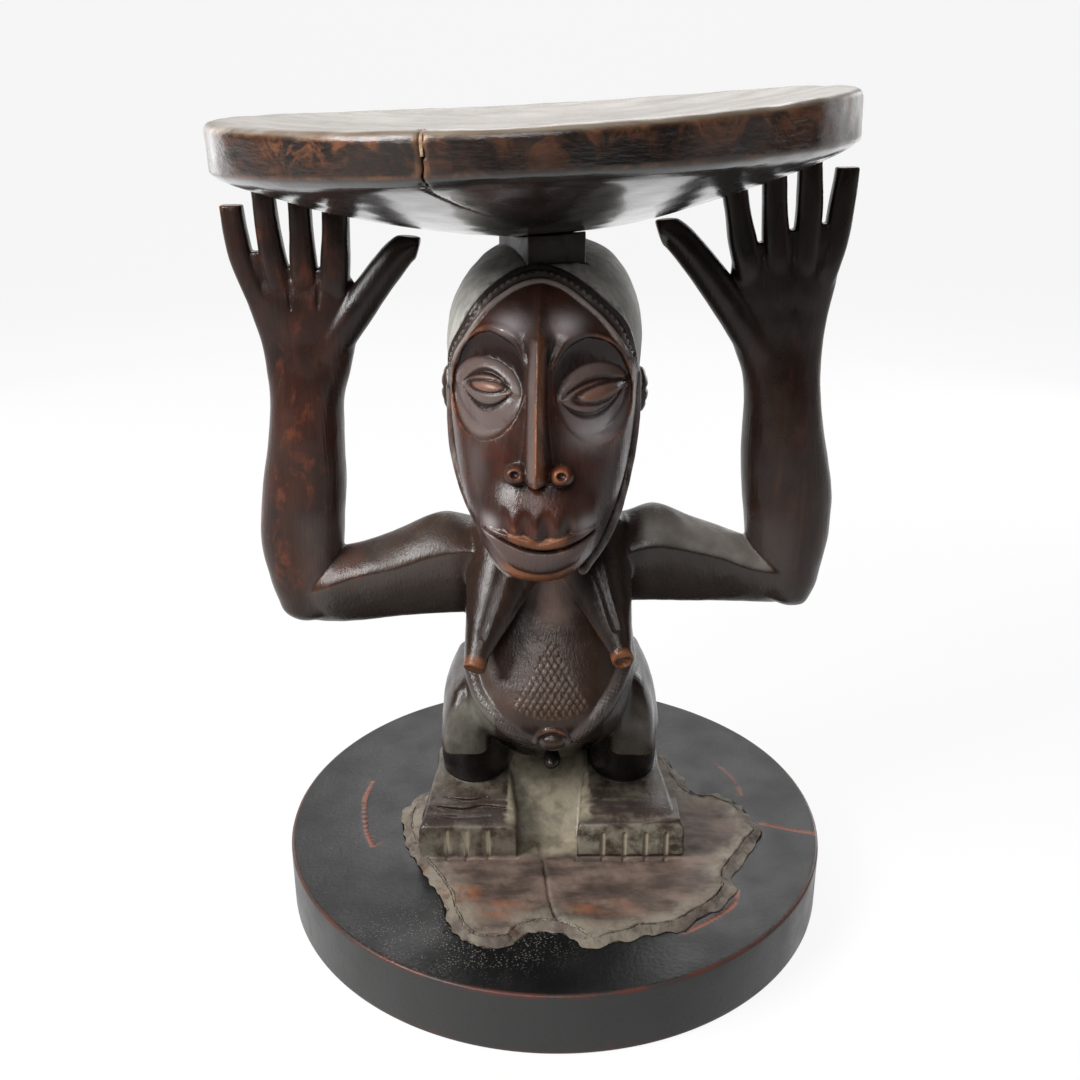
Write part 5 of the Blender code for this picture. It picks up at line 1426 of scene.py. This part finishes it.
seat_board = seat.piece("dished_seat_board", (0, 0, 0), SEAT_FACES, hewn)
tilt = Matrix.Rotation(-math.radians(SEAT_TILT), 4, "Y")
squeeze = Matrix.Translation((SEAT_SHIFT * MM, 0, 0)) @ Matrix.Diagonal((SEAT_SQUEEZE, 1, 1, 1))
set_seat = Matrix.Translation(seat_middle * MM) @ tilt
seat_board.data.transform(set_seat @ squeeze)
points, normals = points_of(seat_board)
points = points / MM - seat_middle
own = points @ np.array(tilt.to_3x3())
radius = np.hypot(own[:, 0], own[:, 1])
bend = bend_of(seat_board, 3)
upper = ease(normals[:, 2], 0.3, 0.7)
rim_band = ease(radius, SEAT_RADIUS - 5, SEAT_RADIUS - 2) * ease(own[:, 2], RIM_LOW - 2, RIM_LOW + 1)
rim = rim_band * (1 - upper)
masks = {
    "rim": rim,
    "rim_mid": rim_band * ease(-np.abs(own[:, 0] - 20), -85, -25),
    "rim_ends": rim * ease(np.abs(own[:, 0]), 105, 150),
    "rim_rub": rim * (0.25 + 0.75 * ease(own[:, 2], RIM_LOW + 3, RIM_TOP - 3)),
    "ridge": ease(bend, 0.05, 0.16),
    "top": upper,
    "under": ease(-normals[:, 2], 0.2, 0.6),
}
for name, values in masks.items():
    store(seat_board, name, values)

oiled = Finish("oiled_seat_wood")
patches = oiled.span(oiled.noise(26, (1, 1, 1.4), 6, 0.62), 0.33, 0.68)
oiled.ground(patches, (0.011, 0.0085, 0.0075), (0.040, 0.020, 0.014))
streaks = oiled.noise(110, (0.35, 0.35, 1.6), 5, 0.6, 0.4)
oiled.wash(oiled.span(streaks, 0.5, 0.74, 0, 0.5), (0.095, 0.042, 0.026))
rubs = oiled.span(oiled.noise(62, (1, 1, 1.1), 8, 0.7, 0.7), 0.455, 0.60, 0, 0.8)
oiled.stain("rim_rub", rubs, (0.215, 0.078, 0.033))
oiled.stain("rim_mid", oiled.span(oiled.noise(40, detail=5), 0.38, 0.56, 0.92, 0.5), (0.009, 0.007, 0.0062))
oiled.stain("rim", oiled.span(oiled.noise(33, (1, 1, 0.8), 5), 0.54, 0.66, 0, 0.7), (0.012, 0.010, 0.009))
edge = oiled.part("ridge", oiled.span(oiled.noise(70), 0.34, 0.6, 0.2, 1))
oiled.wash(oiled.math("MULTIPLY", edge, 0.7), (0.26, 0.125, 0.060))
bleached = oiled.span(oiled.noise(60, (0.25, 1, 1), 6), 0.35, 0.68)
dry = oiled.blend(bleached, (0.120, 0.092, 0.068), (0.225, 0.188, 0.148))
checks = oiled.span(oiled.noise(150, (0.08, 1, 1), 5), 0.56, 0.72, 0, 0.75)
oiled.wash(oiled.mask("top"), oiled.blend(checks, dry, (0.045, 0.030, 0.022)))
oiled.stain("under", 0.85, (0.010, 0.009, 0.009))
gloss = oiled.span(oiled.noise(40, (1, 1, 1), 6), 0.3, 0.7, 0.17, 0.32)
gloss = oiled.math("ADD", gloss, oiled.part("top", 0.12))
gloss = oiled.math("ADD", gloss, oiled.part("rim_ends", 0.30))
oiled.set(base_color=oiled.colour, roughness=gloss, coat_weight=oiled.mask("under"))
oiled.shader.inputs["Coat Roughness"].default_value = 0.16
oiled.shader.inputs["Specular IOR Level"].default_value = 0.42
oiled.bump(oiled.noise(380, (0.3, 0.3, 1), 6), 0.0003)
dress(seat_board, oiled, "seat")

# Crack filler
# Tan wood filler pressed into the upper part of the seat's front crack and wiped off flush.
filler = Finish("tan_wood_filler")
crumb = filler.span(filler.noise(260, detail=6), 0.35, 0.7)
filler.set(
    base_color=filler.blend(crumb, (0.21, 0.125, 0.070), (0.42, 0.285, 0.18)),
    roughness=filler.span(filler.noise(200), 0.3, 0.7, 0.6, 0.8),
)
filler.bump(filler.noise(600, detail=6), 0.0004)
cad_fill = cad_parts["seat_crack_fill"]
fill_mesh = cad_fill.data.copy()
fill_mesh.transform(set_seat @ squeeze @ set_seat.inverted() @ cad_fill.matrix_world)
crack_fill = new_object("pressed_crack_filler", fill_mesh)
dress(crack_fill, filler, "seat_crack_fill")

# Floor, light and camera
# A plain white sweep under soft studio lamps, seen from the photograph's place.
sweep_mesh = bpy.data.meshes.new("white_sweep")
SWEEP_HALF, SWEEP_FRONT, SWEEP_BACK, SWEEP_RADIUS, SWEEP_TOP = 4.0, -3.0, 2.2, 1.0, 3.0
profile = [(SWEEP_FRONT, 0.0)]
for step in range(13):
    angle = math.pi / 2 * step / 12
    profile.append((SWEEP_BACK + SWEEP_RADIUS * math.sin(angle), SWEEP_RADIUS * (1 - math.cos(angle))))
profile.append((SWEEP_BACK + SWEEP_RADIUS, SWEEP_TOP))
corners = [(side * SWEEP_HALF, py, pz) for py, pz in profile for side in SIDES]
faces = [(2 * i, 2 * i + 1, 2 * i + 3, 2 * i + 2) for i in range(len(profile) - 1)]
sweep_mesh.from_pydata(corners, [], faces)
sweep_mesh.shade_smooth()
sweep = new_object("white_sweep", sweep_mesh)
paper = Finish("white_paper")
tree = paper.tree
glow = tree.nodes.new("ShaderNodeEmission")
path = tree.nodes.new("ShaderNodeLightPath")
seen = path.outputs["Is Camera Ray"]
FLOOR_TONE, FLOOR_SEEN, GLOW_SHARE = (0.17, 0.17, 0.17), (0.88, 0.88, 0.88), 0.90
paper.set(base_color=paper.blend(seen, FLOOR_TONE, FLOOR_SEEN), roughness=0.9)
shown = paper.math("MAXIMUM", paper.math("MULTIPLY", seen, GLOW_SHARE), path.outputs["Is Glossy Ray"])
mixed = tree.nodes.new("ShaderNodeMixShader")
tree.links.new(shown, mixed.inputs[0])
tree.links.new(paper.shader.outputs[0], mixed.inputs[1])
tree.links.new(glow.outputs[0], mixed.inputs[2])
tree.links.new(mixed.outputs[0], tree.nodes["Material Output"].inputs["Surface"])
sweep_mesh.materials.append(paper.material)

WORLD_LIGHT, WORLD_SEEN = 0.055, 1.0
world = bpy.data.worlds.new("studio")
world.use_nodes = True
tree = world.node_tree
sky = tree.nodes["Background"]
sky.inputs["Color"].default_value = (1, 1, 1, 1)
strength = tree.nodes.new("ShaderNodeMapRange")
strength.inputs["To Min"].default_value = WORLD_LIGHT
strength.inputs["To Max"].default_value = WORLD_SEEN
tree.links.new(tree.nodes.new("ShaderNodeLightPath").outputs["Is Camera Ray"], strength.inputs["Value"])
tree.links.new(strength.outputs["Result"], sky.inputs["Strength"])
bpy.context.scene.world = world

STOOL_MIDDLE = np.array((0, 0, 0.22))
LAMPS = (
    ("key_softbox", (-1.1, -0.7, 1.2), 0.7, 38),
    ("front_softbox", (-0.15, -1.15, 1.1), 0.5, 6.5),
    ("side_softbox", (1.25, -0.5, 0.6), 0.8, 0.7),
    ("back_softbox", (0.1, 1.3, 1.5), 1.2, 15),
    ("right_edge_softbox", (1.0, 1.0, 0.5), 0.6, 4.5),
    ("left_edge_softbox", (-1.0, 1.0, 0.5), 0.6, 1.6),
)
for name, place, size, power in LAMPS:
    softbox = bpy.data.lights.new(name, "AREA")
    softbox.size = size
    softbox.energy = power
    light = new_object(name, softbox)
    light.location = place
    aim = STOOL_MIDDLE - np.array(place)
    lean = math.atan2(math.hypot(aim[0], aim[1]), -aim[2])
    light.rotation_euler = (lean, 0, math.atan2(aim[1], aim[0]) - math.pi / 2)

CAMERA_PLACE, CAMERA_DOWN = (-0.0089, -0.6318, 0.4656), 21.377
camera_data = bpy.data.cameras.new("photo_camera")
camera_data.lens = 40.0
camera_data.sensor_width = 36.0
camera = new_object("photo_camera", camera_data)
camera.location = CAMERA_PLACE
camera.rotation_euler = (math.radians(90 - CAMERA_DOWN), 0, 0)
bpy.context.scene.camera = camera
bpy.context.scene.view_settings.view_transform = "Standard"
